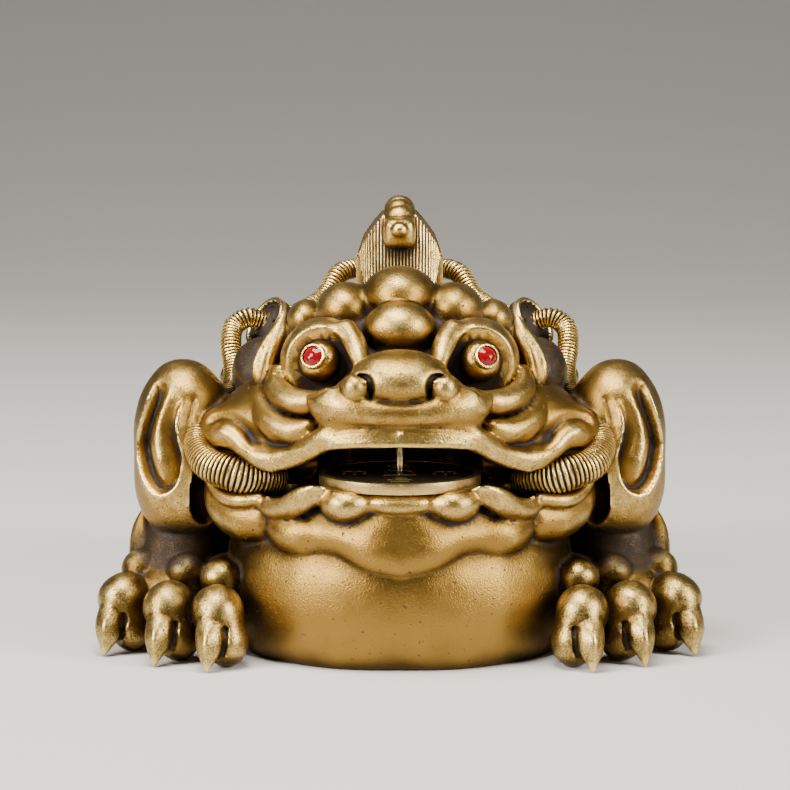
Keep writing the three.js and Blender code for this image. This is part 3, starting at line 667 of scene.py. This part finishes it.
def model_toad():
    clay = Clay(CLAY_LOW, CLAY_HIGH, CLAY_STEP)
    body(clay)
    hind_leg(clay)
    bosses(clay)
    wrist(clay)
    for shape in TOES:
        toe(clay, **shape)
    arm(clay)
    skull(clay)
    clay.ball((35, -40, 75.4), (6.4, 10.6, 9.6), soft=0.8, cut=True)
    jaw(clay)
    cheek(clay)
    bib(clay)
    upper_lip(clay)
    muzzle(clay)
    nose(clay)
    eye(clay)
    ear(clay)
    lower_lip(clay)
    mouth(clay)
    nostril(clay)
    crest_core(clay)
    spine(clay)
    clay.ball(Vector(SHOULDER_COIN) - SHOULDER_AXIS * 6, (7, 7, 7), soft=1)
    wobble(clay)
    eyeball(clay)
    for string in (STRING, BACK_STRING):
        clay.roll([(x, y, z, r - 0.9) for x, y, z, r in string], soft=0)
    part, x, y, z = clay.window((0, -80, 42), (24, -30, 54))
    seat = np.maximum(np.hypot(x, y - COIN_BACK) - COIN_RADIUS - 0.4, np.abs(z - 48.7) - 5.1)
    clay.merge(part, seat.astype(np.float32), 0, True)
    part, x, y, z = clay.window(CLAY_LOW, CLAY_HIGH)
    clay.depth = np.maximum(clay.depth, -z)
    return clay


def clay_mesh(clay):
    """The surface of the clay and of its mirror image, as points in metres and faces."""
    band = 4 * clay.step
    half = np.clip(clay.depth, -band, band)
    whole = np.concatenate([half[:0:-1], half], axis=0)
    grid = openvdb.FloatGrid(band)
    grid.copyFromArray(np.ascontiguousarray(whole), tolerance=0.0)
    points, quads = grid.convertToQuads(0.0)
    first = np.array([-clay.step * (clay.count[0] - 1), clay.low[1], clay.low[2]])
    return points * clay.step + first, quads


# Fine parts that are joined to the clay: the ribs of the crest, the threaded discs and the shoulder coins

def rings_mesh(rings, closed=False):
    """Points and faces of a skin over rings with equal numbers of points, capped at both ends."""
    rings = np.array(rings, float)
    count, around = rings.shape[:2]
    points = rings.reshape(-1, 3)
    i = np.arange(count - 1)[:, None] * around
    j = np.arange(around)[None, :]
    k = (j + 1) % around
    a, b, c, d = (v.ravel() for v in (i + j, i + k, i + around + k, i + around + j))
    faces = np.concatenate([np.stack([a, b, c], 1), np.stack([a, c, d], 1)])
    middle = len(points) + np.arange(2)
    points = np.vstack([points, rings[0].mean(0), rings[-1].mean(0)])
    j = np.arange(around)
    k = (j + 1) % around
    low = np.stack([k, j, np.full(around, middle[0])], 1)
    high = np.stack([(count - 1) * around + j, (count - 1) * around + k, np.full(around, middle[1])], 1)
    faces = np.concatenate([faces, low, high])
    a, b, c = (points[faces[:, i]] for i in range(3))
    if (np.cross(a, b) * c).sum() < 0:
        faces = faces[:, ::-1]
    return points, faces


def mirrored(skin):
    points, faces = skin
    return points * (-1, 1, 1), faces[:, ::-1]


def threaded_discs(path, pitch, groove, sides):
    """Thin round discs threaded close together along a path of waypoints (x, y, z, radius)."""
    line = smooth_path(path, pitch / 2)
    ahead = np.gradient(line[:, :3], axis=0)
    ahead /= np.linalg.norm(ahead, axis=1, keepdims=True)
    up = np.array([0.3, 0.2, 1.0])
    rings = []
    turn = np.linspace(0, 2 * math.pi, sides, endpoint=False)
    for i, (place, way) in enumerate(zip(line, ahead)):
        up = up - way * (up @ way)
        up /= np.linalg.norm(up)
        right = np.cross(way, up)
        circle = np.cos(turn)[:, None] * right + np.sin(turn)[:, None] * up
        edge = i % 2 == 1
        for slide, size in ((-0.18, 0.0), (0.18, 0.0)) if edge else ((0, -groove),):
            rings.append(place[:3] + way * slide * pitch + circle * (place[3] + size))
    return rings_mesh(rings)


def crest_ribs():
    """The crest's side, worked into close upright ribs that the slope of its outline cuts off."""
    turn = np.linspace(0, 2 * math.pi, 4001)
    across, along = (np.sign(v) * np.abs(v) ** 0.5 for v in (np.sin(turn), np.cos(turn)))
    foot, half, front, back = CREST_LEVELS[0]
    girth = np.concatenate([[0], np.cumsum(np.hypot(np.diff(across) * half, np.diff(along) * (back - front) / 2))])
    ribs = int(girth[-1] / RIB_PITCH)
    at = np.linspace(0, girth[-1], ribs * 4, endpoint=False)
    x = np.interp(at, girth, across) * half
    y = (front + back) / 2 - np.interp(at, girth, along) * (back - front) / 2
    out_x, out_y = np.roll(y, -1) - np.roll(y, 1), np.roll(x, 1) - np.roll(x, -1)
    size = np.hypot(out_x, out_y)
    wave = np.tile([0.0, RIB_RISE, RIB_RISE, 0.0], ribs) - RIB_RISE * 0.75
    slope = CREST_LEVELS[:1:-1]
    top = np.interp(np.abs(x), [level[1] for level in slope], [level[0] for level in slope])
    rings = []
    for share in np.linspace(0.1, 1, 10):
        z = foot + (top - foot) * share
        _, near, far = crest_section(z)
        ahead = np.where(y < near, -1, np.where(y > far, 1, out_y / size))
        rings.append(np.column_stack([x + out_x / size * wave, np.clip(y, near, far) + ahead * wave, z]))
    return rings_mesh(rings)


def turned(profile, centre, axis, sides):
    """A turned form: a profile of (radius, height) pairs around an axis through the centre."""
    axis = Vector(axis).normalized()
    right = axis.orthogonal().normalized()
    up = axis.cross(right)
    turn = np.linspace(0, 2 * math.pi, sides, endpoint=False)
    circle = np.cos(turn)[:, None] * np.array(right) + np.sin(turn)[:, None] * np.array(up)
    return rings_mesh([np.array(centre) + np.array(axis) * h + circle * r for r, h in profile])


def shoulder_coin():
    """A coin with a raised rim, held against the shoulder."""
    profile = [(5, -3.5), (7.0, -3.2), (7.25, -2.9), (7.25, 0), (7.05, 0.25), (6.4, 0.25), (6.1, 0), (5.9, -0.55), (1, -0.55)]
    return turned(profile, SHOULDER_COIN, SHOULDER_AXIS, 64)


def coin_strokes():
    """Small raised strokes round the face of the shoulder coin. They are no letters."""
    right = SHOULDER_AXIS.cross(Vector((0, 0, 1))).normalized()
    up = right.cross(SHOULDER_AXIS)
    turn = [(-1, -1), (1, -1), (1, 1), (-1, 1)]
    points, faces = [], []
    strokes = [(3.4, 0.55, 0, 1.5), (3.4, 0.55, 0, -1.5), (0.55, 3.4, 1.5, 0), (0.55, 3.4, -1.5, 0)]
    for s in (1, -1):
        strokes += [(2.6, 0.5, 0, 3.9 * s), (0.5, 1.6, -0.9, 3.9 * s), (0.5, 2.6, 3.9 * s, 0), (1.6, 0.5, 3.9 * s, 0.9)]
    for wide, high, across, above in strokes:
        rings = []
        for h in (-1.2, -0.2):
            centre = Vector(SHOULDER_COIN) + SHOULDER_AXIS * h
            rings.append([centre + right * (across + u * wide / 2) + up * (above + v * high / 2) for u, v in turn])
        box, sides = rings_mesh(rings)
        faces.append(sides + sum(len(q) for q in points))
        points.append(box)
    return np.vstack(points), np.vstack(faces)


def bezel():
    """The ring that is pressed round a stone, with the floor that it sits on."""
    wall = GEM_RADIUS + 0.15
    profile = [(wall + 0.6, -2.6), (wall + 0.7, -0.5), (wall + 0.66, 0.1), (wall + 0.42, 0.34), (wall + 0.12, 0.3), (wall, 0.05),
               (wall, -GEM_SEAT)]
    return turned(profile, GEM_PLACE, GEM_AXIS, 40)


def fine_parts():
    string = threaded_discs(STRING, STRING_PITCH, STRING_GROOVE, 16)
    parts = [crest_ribs(), threaded_discs(back_string(), 1.15, STRING_GROOVE, 14)]
    for part in (string, shoulder_coin(), coin_strokes(), bezel()):
        parts += [part, mirrored(part)]
    return parts


def mesh_piece(name, points, faces):
    mesh = bpy.data.meshes.new(name)
    mesh.from_pydata([], [], [])
    count = len(faces)
    size = faces.shape[1]
    mesh.vertices.add(len(points))
    mesh.vertices.foreach_set("co", points.astype(np.float32).ravel())
    mesh.loops.add(count * size)
    mesh.loops.foreach_set("vertex_index", faces.astype(np.int32).ravel())
    mesh.polygons.add(count)
    mesh.polygons.foreach_set("loop_start", np.arange(0, count * size, size, dtype=np.int32))
    mesh.update(calc_edges=True)
    mesh.validate()
    piece = bpy.data.objects.new(name, mesh)
    bpy.context.scene.collection.objects.link(piece)
    return piece


def placed(points):
    """Places of the figure in metres, in the frame."""
    return np.asarray(points) * MM + np.array(SHIFT)


def join_to(piece, part, name):
    tool = mesh_piece(name, placed(part[0]), part[1])
    make_active(piece)
    union = piece.modifiers.new("join", "BOOLEAN")
    union.operation = "UNION"
    union.solver = "MANIFOLD"
    union.object = tool
    bpy.ops.object.modifier_apply(modifier="join")
    bpy.data.objects.remove(tool)


# The worn brass, its patina, and its painted light and shade

def blurred(share, cells):
    """Each grid value as the mean of a cube of its neighbours. The figure's other half mirrors this one."""
    for axis in range(3):
        row = np.moveaxis(share, axis, 0)
        before = row[cells + 1:0:-1] if axis == 0 else np.repeat(row[:1], cells + 1, 0)
        total = np.cumsum(np.concatenate([before, row, np.repeat(row[-1:], cells, 0)]), axis=0, dtype=np.float32)
        row = (total[2 * cells + 1:] - total[:-2 * cells - 1]) / (2 * cells + 1)
        share = np.moveaxis(row, 0, axis)
    return share


def step_up(value, low, high):
    share = np.clip((value - low) / (high - low), 0, 1)
    return share * share * (3 - 2 * share)


def string_grooves(places):
    """How deep each place lies between the threaded discs, from 0 to 1."""
    sunk = np.zeros(len(places))
    for path in (STRING, back_string()):
        gap = np.full(len(places), FAR)
        for x, y, z, radius in smooth_path(path, 0.5):
            gap = np.minimum(gap, np.linalg.norm(places - (x, y, z), axis=1) - radius)
        sunk = np.where((gap > -1.3) & (gap < 0.25), np.maximum(sunk, np.clip(-gap / STRING_GROOVE, 0, 1)), sunk)
    return sunk


def crest_grooves(places):
    x, y, z = places.T
    _, front, back = crest_section(z)
    _, base_half, base_front, base_back = CREST_LEVELS[0]
    across = np.abs(x) / base_half
    along = np.abs(y - (base_front + base_back) / 2) / ((base_back - base_front) / 2)
    out = ((across ** 4 + along ** 4) ** 0.25 - 1) * base_half
    out = np.maximum(out, np.maximum(front - y, y - back))
    on_rib = (np.abs(out) < 0.5) & (z > 82) & (z < 104.8)
    return np.where(on_rib, np.clip((0.1 - out) / 0.42, 0, 1), 0)


def shoulder_coin_face(places):
    """The sunk face of the shoulder coin."""
    off = places - np.array(SHOULDER_COIN)
    above = off @ np.array(SHOULDER_AXIS)
    aside = np.sqrt(np.maximum((off ** 2).sum(1) - above ** 2, 0))
    return np.where(np.abs(above + 2) < 2.6, np.where(aside < 6.1, 0.95, np.where((aside < 7.4) & (above < -0.4), 0.55, 0)), 0)


def lit_dish(places):
    """The upper and outer side of the dish round the eye, where it faces the light, for painted light: less dark, less
    shade and a painted highlight.
    """
    off = places - np.array(EYE_CENTRE)
    gap = np.linalg.norm(off, axis=1)
    outward = (0.75 * off[:, 0] + 0.66 * off[:, 2]) / np.maximum(gap, 1e-6)
    return step_up(outward, -0.35, 0.4) * ((gap > EYE_RADIUS + 0.8) & (gap < 12))


def wear(piece, clay):
    """Writes on the piece where it is hollow, so dark with patina, where it stands out, so worn bright, where painted
    highlights go on bulges and on the lit side of the eye's dish, and where painted shade falls in broad hollows.
    """
    count = len(piece.data.vertices)
    places = np.empty(count * 3, np.float32)
    piece.data.vertices.foreach_get("co", places)
    places = (places.reshape(-1, 3) - np.array(SHIFT)) / MM
    places[:, 0] = np.abs(places[:, 0])
    share = np.clip(0.5 - clay.depth / (2 * clay.step), 0, 1)
    # The ground counts as mostly solid, so the brass near it gets painted shade and patina as in a hollow.
    share[:, :, :int(-clay.low[2] / clay.step)] = 0.7
    shades = []
    for reach in (0.6, 1.3, 3.6, 6):
        share = blurred(share, max(1, int(round(reach / clay.step))))
        shades.append(clay.at(places, share) - 0.5)
    small, middle, large, wide = shades
    grooves = np.maximum(np.maximum(string_grooves(places), crest_grooves(places)), shoulder_coin_face(places))
    fine = grooves > 0
    hollow = 1 - (1 - 0.6 * step_up(small, 0.08, 0.3)) * (1 - step_up(middle, 0.05, 0.24)) * (1 - 0.9 * step_up(large, 0.08, 0.3))
    wrist_gap = np.linalg.norm((places - (55, -33, 24)) / (13, 16, 8), axis=1)
    pocket = np.linalg.norm((places - (37.5, -25, 72)) / (6, 14, 9), axis=1)
    hollow = np.maximum(hollow, np.maximum(0.6 * step_up(-wrist_gap, -1.2, -0.8), 0.7 * step_up(-pocket, -1.1, -0.7)))
    hollow = hollow * (1 - 0.9 * lit_dish(places))
    hollow = np.where(fine, np.maximum(0.8 * hollow, step_up(grooves, 0.05, 0.6)), hollow)
    bright = np.maximum(step_up(-small, 0.04, 0.16), 0.8 * step_up(-middle, 0.06, 0.2))
    # Bulging forms get a lighter middle: a painted highlight, carried in the bright channel with the worn edges.
    bright = np.maximum(bright, 0.5 * step_up(-large - wide, 0.04, 0.34))
    bright = np.where(fine, 0.5 * step_up(1 - grooves, 0.6, 1.0), np.maximum(bright, 0.5 * lit_dish(places)))
    # Painted shade in broad hollows, with less of it on the lit side of the eye's dish. Low on the front paws the brass
    # is made darker too.
    shade = step_up(large + wide, -0.2, 0.44) * (1 - 0.7 * lit_dish(places))
    paws = step_up(places[:, 0], 34, 41) * step_up(-places[:, 2], -34, -22) * (places[:, 1] < -20)
    shade = np.maximum(shade, 0.55 * paws)
    colours = np.stack([hollow, bright, shade, np.ones(count)], 1).astype(np.float32)
    layer = piece.data.attributes.new("wear", "FLOAT_COLOR", "POINT")
    layer.data.foreach_set("color", colours.ravel())


def toad_piece():
    clay = model_toad()
    points, quads = clay_mesh(clay)
    faces = np.concatenate([quads[:, [0, 1, 2]], quads[:, [0, 2, 3]]])
    piece = mesh_piece("toad", placed(points), faces)
    make_active(piece)
    bpy.ops.object.mode_set(mode="EDIT")
    bpy.ops.mesh.select_all(action="SELECT")
    bpy.ops.mesh.normals_make_consistent(inside=False)
    bpy.ops.object.mode_set(mode="OBJECT")
    thin = piece.modifiers.new("thin", "DECIMATE")
    thin.ratio = min(1.0, TOAD_TRIANGLES / len(faces))
    bpy.ops.object.modifier_apply(modifier="thin")
    for i, part in enumerate(fine_parts()):
        join_to(piece, part, "part_%d" % i)
    deselect()
    make_active(piece)
    bpy.ops.object.shade_smooth_by_angle(angle=math.radians(50))
    wear(piece, clay)
    return piece


# Materials

class Nodes:
    """A tree of shader nodes that is wired by the names of their sockets."""

    def __init__(self, tree):
        self.tree = tree

    def add(self, kind, settings=None, **inputs):
        node = self.tree.nodes.new(kind)
        for name, value in (settings or {}).items():
            setattr(node, name, value)
        for name, value in inputs.items():
            self.set(node, name.replace("_", " "), value)
        return node

    def set(self, node, socket, value):
        socket = node.inputs[int(socket) if socket.isdigit() else socket]
        if isinstance(value, bpy.types.NodeSocket):
            self.tree.links.new(value, socket)
        else:
            socket.default_value = value

    def math(self, how, a, b=0.0):
        node = self.add("ShaderNodeMath", {"operation": how})
        self.set(node, "0", a)
        self.set(node, "1", b)
        return node.outputs[0]

    def between(self, value, low, high, to_low=0.0, to_high=1.0):
        node = self.add("ShaderNodeMapRange", {"interpolation_type": "SMOOTHSTEP"})
        for name, given in (("Value", value), ("From Min", low), ("From Max", high), ("To Min", to_low), ("To Max", to_high)):
            self.set(node, name, given)
        return node.outputs["Result"]

    def mix(self, factor, a, b):
        node = self.add("ShaderNodeMix", {"data_type": "RGBA"})
        self.set(node, "0", factor)
        self.set(node, "6", a)
        self.set(node, "7", b)
        return node.outputs[2]

    def millimetres(self):
        """The place on the piece, in millimetres."""
        node = self.add("ShaderNodeVectorMath", {"operation": "SCALE"}, Scale=1 / MM)
        self.set(node, "0", self.add("ShaderNodeTexCoord").outputs["Object"])
        return node.outputs["Vector"]

    def noise(self, place, scale, detail=2.0):
        node = self.add("ShaderNodeTexNoise", Scale=scale, Detail=detail)
        self.set(node, "Vector", place)
        return node.outputs["Fac"]


def aged_brass_group():
    """Brass with a brown-black patina in its hollows and worn bright on what stands out. The Bright input also carries
    painted highlights, and the Shade input paints shade by browning the brass.
    """
    tree = bpy.data.node_groups.new("aged_brass", "ShaderNodeTree")
    for name, kind, value in (
        ("Brass", "NodeSocketColor", (0.52, 0.36, 0.13, 1)), ("Rubbed", "NodeSocketColor", (0.8, 0.62, 0.3, 1)),
        ("Patina", "NodeSocketColor", (0.03, 0.018, 0.008, 1)), ("Hollow", "NodeSocketFloat", 0.0),
        ("Bright", "NodeSocketFloat", 0.0), ("Shade", "NodeSocketFloat", 0.0), ("Grain", "NodeSocketFloat", 1.0),
    ):
        tree.interface.new_socket(name, in_out="INPUT", socket_type=kind).default_value = value
    for name, kind in (("Colour", "NodeSocketColor"), ("Roughness", "NodeSocketFloat"), ("Metallic", "NodeSocketFloat"),
                       ("Height", "NodeSocketFloat")):
        tree.interface.new_socket(name, in_out="OUTPUT", socket_type=kind)
    nodes = Nodes(tree)
    given = nodes.add("NodeGroupInput").outputs
    place = nodes.millimetres()
    clouds = nodes.noise(place, 0.09, 3)
    patches = nodes.noise(place, 0.38, 3)
    sand = nodes.noise(place, 2.6, 2)
    pits = nodes.between(nodes.noise(place, 1.1, 1), 0.71, 0.75)
    uneven = nodes.math("ADD", nodes.math("MULTIPLY", nodes.math("SUBTRACT", patches, 0.5), 0.5),
                        nodes.math("MULTIPLY", nodes.math("SUBTRACT", sand, 0.5), 0.8))
    dark = nodes.between(nodes.math("ADD", given["Hollow"], uneven), 0.12, 0.72)
    dark = nodes.math("MAXIMUM", dark, nodes.math("MULTIPLY", pits, 0.75))
    # Painted shade: where the Shade input is high, the brass turns brown, and the clouds vary it at random.
    shade_and_tone = nodes.math("ADD", given["Shade"], nodes.math("MULTIPLY", nodes.math("SUBTRACT", clouds, 0.5), 0.5))
    brown = nodes.mix(0.75, given["Brass"], given["Patina"])
    body = nodes.mix(nodes.between(shade_and_tone, 0.05, 0.75), given["Brass"], brown)
    # Worn bright edges, with the painted highlights that come in through Bright.
    rub_and_highlight = nodes.between(nodes.math("ADD", given["Bright"], uneven), 0.2, 0.9)
    body = nodes.mix(rub_and_highlight, body, given["Rubbed"])
    colour = nodes.mix(dark, body, given["Patina"])
    rough = nodes.math("ADD", 0.36, nodes.math("MULTIPLY", nodes.math("SUBTRACT", patches, 0.5), 0.14))
    rough = nodes.math("ADD", rough, nodes.math("MULTIPLY", dark, 0.24))
    rough = nodes.math("SUBTRACT", rough, nodes.math("MULTIPLY", rub_and_highlight, 0.08))
    metallic = nodes.math("SUBTRACT", 1.0, nodes.math("MULTIPLY", dark, 0.55))
    height = nodes.math("MULTIPLY", nodes.math("SUBTRACT", sand, nodes.math("MULTIPLY", pits, 1.2)), given["Grain"])
    out = nodes.add("NodeGroupOutput")
    for name, value in (("Colour", colour), ("Roughness", rough), ("Metallic", metallic), ("Height", height)):
        nodes.set(out, name, value)
    return tree


AGED_BRASS = aged_brass_group()


def new_material(name):
    material = bpy.data.materials.new(name)
    material.use_nodes = True
    return material, Nodes(material.node_tree), material.node_tree.nodes["Principled BSDF"]


def aged_brass(name, brass, rubbed_and_lit, patina, grain=1.0, relief=0.00011):
    material, nodes, shader = new_material(name)
    seen = nodes.add("ShaderNodeVertexColor", {"layer_name": "wear"}).outputs["Color"]
    marks = nodes.add("ShaderNodeSeparateColor")
    nodes.set(marks, "0", seen)
    group = nodes.add("ShaderNodeGroup", {"node_tree": AGED_BRASS}, Brass=(*brass, 1), Rubbed=(*rubbed_and_lit, 1), Patina=(*patina, 1), Grain=grain)
    for name, mark in zip(("Hollow", "Bright", "Shade"), marks.outputs):
        nodes.set(group, name, mark)
    bump = nodes.add("ShaderNodeBump", Strength=1.0, Distance=relief, Height=group.outputs["Height"])
    nodes.set(shader, "Base Color", group.outputs["Colour"])
    nodes.set(shader, "Roughness", group.outputs["Roughness"])
    nodes.set(shader, "Metallic", group.outputs["Metallic"])
    nodes.set(shader, "Normal", bump.outputs["Normal"])
    return material


def red_glass():
    """Red cut glass, as a dark red, shiny surface."""
    material, nodes, shader = new_material("red_glass")
    for name, value in (("Base Color", (0.2, 0.0, 0.004, 1)), ("Roughness", 0.06), ("Specular IOR Level", 0.45)):
        nodes.set(shader, name, value)
    return material


def drawn_brass():
    material, nodes, shader = new_material("pin_brass")
    rough = nodes.between(nodes.noise(nodes.millimetres(), 0.9, 2), 0.3, 0.7, 0.16, 0.3)
    nodes.set(shader, "Base Color", (0.8, 0.66, 0.4, 1))
    nodes.set(shader, "Metallic", 1.0)
    nodes.set(shader, "Roughness", rough)
    return material


def finish(piece, body, node, material):
    """Gives a piece its one material, the body it rides on and the solid that it stands for."""
    piece.data.materials.clear()
    piece.data.materials.append(material)
    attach(piece, body)
    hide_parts(node)


toad_brass = aged_brass("antique_brass", (0.29, 0.168, 0.035), (0.8, 0.59, 0.2), (0.016, 0.0085, 0.0045))
finish(toad_piece(), "toad", "toad_casting", toad_brass)


# The coin in the mouth, its pin and the stones

def combine(piece, tool, how):
    make_active(piece)
    change = piece.modifiers.new("combine", "BOOLEAN")
    change.operation = how
    change.solver = "MANIFOLD"
    change.object = tool
    bpy.ops.object.modifier_apply(modifier="combine")
    bpy.data.objects.remove(tool)


def block(size, centre):
    """A small block, given in the figure's millimetres."""
    deselect()
    bpy.ops.mesh.primitive_cube_add(size=1, location=Vector(placed(centre)))
    piece = bpy.context.object
    piece.scale = Vector(size) * MM
    bpy.ops.object.transform_apply(location=True, rotation=True, scale=True)
    return piece


def upright_cylinder(name, radius, low, high, sides):
    deselect()
    middle = Vector(placed((0, COIN_BACK, (low + high) / 2)))
    bpy.ops.mesh.primitive_cylinder_add(vertices=sides, radius=radius * MM, depth=(high - low) * MM, location=middle)
    piece = bpy.context.object
    piece.name = name
    bpy.ops.object.transform_apply(location=True, rotation=True, scale=True)
    return piece


def soften(piece, width, segments=2):
    make_active(piece)
    edge = piece.modifiers.new("soften", "BEVEL")
    edge.width = width * MM
    edge.segments = segments
    edge.limit_method = "ANGLE"
    edge.angle_limit = math.radians(40)
    bpy.ops.object.modifier_apply(modifier="soften")
    bpy.ops.object.shade_smooth_by_angle(angle=math.radians(35))


COIN_RIM = 1.8
COIN_SINK = 0.35
COIN_FRAME = 8.0
PIN_RADIUS = 0.9
PIN_FOOT = COIN_UNDERSIDE - 4.4
PIN_TOP = 54.7


def mouth_coin():
    """A thick round coin with a raised rim, a square frame in its middle and rows of raised strokes that are no letters."""
    top = COIN_UNDERSIDE + COIN_THICKNESS
    coin = upright_cylinder("coin", COIN_RADIUS - 0.02, COIN_UNDERSIDE, top, 128)
    combine(coin, upright_cylinder("sink", COIN_RADIUS - COIN_RIM, top - COIN_SINK, top + 1, 128), "DIFFERENCE")
    half = COIN_FRAME / 2
    mark = (COIN_RADIUS - COIN_RIM + half) / 2
    z = top - COIN_SINK
    strokes = []
    for s in (1, -1):
        strokes += [(2 * half, 1, 0, s * (half - 0.5)), (1, 2 * half, s * (half - 0.5), 0)]
        for shift, length in ((-2.6, 4.4), (0, 6), (2.4, 3.6)):
            strokes += [(length, 0.8, 0, s * mark + shift), (0.8, length, s * mark + shift, 0)]
        strokes += [(0.8, 5.2, -1.6, s * mark), (5.2, 0.8, s * mark, 1.6)]
    for wide, deep, x, y in strokes:
        combine(coin, block((wide, deep, 0.5), (x, COIN_BACK + y, z)), "UNION")
    combine(coin, upright_cylinder("hole", PIN_RADIUS + 0.25, COIN_UNDERSIDE - 1, top + 1, 32), "DIFFERENCE")
    soften(coin, 0.12)
    return coin


def coin_wear_and_shade(coin):
    """The sunk face and the hole are dark, and the sunk face also gets painted shade. The rim, the edge and the strokes
    are worn bright.
    """
    top = COIN_UNDERSIDE + COIN_THICKNESS
    places = np.empty(len(coin.data.vertices) * 3, np.float32)
    coin.data.vertices.foreach_get("co", places)
    x, y, z = ((places.reshape(-1, 3) - np.array(SHIFT)) / MM).T
    out = np.hypot(x, y - COIN_BACK)
    sunk = (z < top - COIN_SINK + 0.04) & (z > top - COIN_SINK - 0.1) & (out < COIN_RADIUS - COIN_RIM + 0.1)
    hollow = np.where(sunk, 0.8, 0.12)
    bright = np.where(sunk, 0.0, 0.6)
    # The third channel is painted shade, strongest on the sunk face.
    colours = np.stack([hollow, bright, hollow * 0.6, np.ones(len(x))], 1).astype(np.float32)
    layer = coin.data.attributes.new("wear", "FLOAT_COLOR", "POINT")
    layer.data.foreach_set("color", colours.ravel())


def coin_pin():
    pin = upright_cylinder("pin", PIN_RADIUS, PIN_FOOT, PIN_TOP, 32)
    soften(pin, 0.1)
    return pin


coin = mouth_coin()
coin_wear_and_shade(coin)
coin_brass = aged_brass("coin_brass", (0.36, 0.23, 0.06), (0.76, 0.58, 0.24), (0.02, 0.011, 0.006), grain=0.6)
finish(coin, "coin", "mouth_coin", coin_brass)
finish(coin_pin(), "toad", "coin_pin", drawn_brass())


def cut_stone(name, side):
    """A round stone with a straight girdle, two rows of facets and a flat table, in its seat."""
    axis = Vector((GEM_AXIS.x * side, GEM_AXIS.y, GEM_AXIS.z))
    foot = Vector((GEM_PLACE.x * side, GEM_PLACE.y, GEM_PLACE.z)) - axis * (GEM_SEAT - 0.15)
    deselect()
    bpy.ops.mesh.primitive_cylinder_add(vertices=12, radius=GEM_RADIUS * MM, depth=0.85 * MM, location=(0, 0, 0.425 * MM))
    stone = bpy.context.object
    stone.name = name
    bpy.ops.object.transform_apply(location=True, rotation=True, scale=True)
    for rise, size in ((0.42, 0.74), (0.32, 0.62), (0.16, 0.34)):
        bpy.ops.object.mode_set(mode="EDIT")
        bpy.ops.mesh.select_all(action="DESELECT")
        bpy.ops.object.mode_set(mode="OBJECT")
        top = max(stone.data.polygons, key=lambda face: face.center.z)
        top.select = True
        bpy.ops.object.mode_set(mode="EDIT")
        bpy.ops.mesh.extrude_region_move(TRANSFORM_OT_translate={"value": (0, 0, rise * MM)})
        bpy.ops.transform.resize(value=(size, size, 1), center_override=(0, 0, 0))
        bpy.ops.object.mode_set(mode="OBJECT")
    stone.rotation_euler = axis.to_track_quat("Z", "Y").to_euler()
    stone.location = Vector(placed(foot))
    bpy.ops.object.transform_apply(location=True, rotation=True, scale=True)
    edge = stone.modifiers.new("edge", "BEVEL")
    edge.width = 0.04 * MM
    edge.segments = 1
    bpy.ops.object.modifier_apply(modifier="edge")
    return stone


glass = red_glass()
for side, node in ((1, "left_eye_gem"), (-1, "right_eye_gem")):
    finish(cut_stone(node.replace("gem", "stone"), side), "toad", node, glass)


def floor():
    """A pale floor that curves up behind the figure."""
    deselect()
    bpy.ops.mesh.primitive_plane_add(size=7, location=(0, -0.5, 0))
    sweep = bpy.context.object
    sweep.name = "floor"
    bpy.ops.object.transform_apply(location=True, rotation=True, scale=True)
    back = max(vertex.co.y for vertex in sweep.data.vertices)
    for rise in (4.0, 0.0):
        bpy.ops.object.mode_set(mode="EDIT")
        bpy.ops.mesh.select_all(action="DESELECT")
        bpy.ops.object.mode_set(mode="OBJECT")
        for edge in sweep.data.edges:
            ends = [sweep.data.vertices[i].co for i in edge.vertices]
            edge.select = all(end.y > back - 0.01 and end.z < 0.01 for end in ends)
        bpy.ops.object.mode_set(mode="EDIT")
        bpy.ops.mesh.select_mode(type="EDGE")
        if rise:
            bpy.ops.mesh.extrude_region_move(TRANSFORM_OT_translate={"value": (0, 0, rise)})
        else:
            bpy.ops.mesh.bevel(offset=2.2, segments=24)
        bpy.ops.object.mode_set(mode="OBJECT")
    bpy.ops.object.shade_smooth()
    material, nodes, shader = new_material("pale_floor")
    nodes.set(shader, "Base Color", (0.56, 0.55, 0.54, 1))
    nodes.set(shader, "Roughness", 0.75)
    sweep.data.materials.append(material)


def softbox(name, place, target, wide, high, power):
    light = bpy.data.lights.new(name, "AREA")
    light.shape = "RECTANGLE"
    light.size = wide
    light.size_y = high
    light.energy = power
    light.color = (1, 0.95, 0.87)
    lamp = bpy.data.objects.new(name, light)
    lamp.location = place
    lamp.rotation_euler = (Vector(target) - Vector(place)).to_track_quat("-Z", "Y").to_euler()
    bpy.context.scene.collection.objects.link(lamp)


def lights():
    world = bpy.data.worlds.new("studio")
    bpy.context.scene.world = world
    world.use_nodes = True
    world.node_tree.nodes["Background"].inputs["Color"].default_value = (1, 0.97, 0.93, 1)
    world.node_tree.nodes["Background"].inputs["Strength"].default_value = 0.1
    middle = (0, -0.03, 0.05)
    softbox("left_box", (-0.75, -0.5, 0.55), middle, 0.4, 0.6, 20)
    softbox("right_box", (0.8, -0.45, 0.5), middle, 0.35, 0.6, 14)
    softbox("top_box", (-0.1, -0.15, 0.95), middle, 0.6, 0.35, 16)


def camera():
    lens = bpy.data.cameras.new("camera")
    lens.sensor_width = 36
    lens.lens = 36 * PIXELS_PER_MM * VIEW_DISTANCE / FRAME_PIXELS
    lens.clip_start = 0.01
    viewer = bpy.data.objects.new("camera", lens)
    bpy.context.scene.collection.objects.link(viewer)
    target = Vector(VIEW_TARGET) * MM + SHIFT
    back = Vector((0, -math.cos(VIEW_RISE), math.sin(VIEW_RISE)))
    viewer.location = target + back * VIEW_DISTANCE * MM
    viewer.rotation_euler = (-back).to_track_quat("-Z", "Y").to_euler()
    bpy.context.scene.camera = viewer


floor()
lights()
camera()
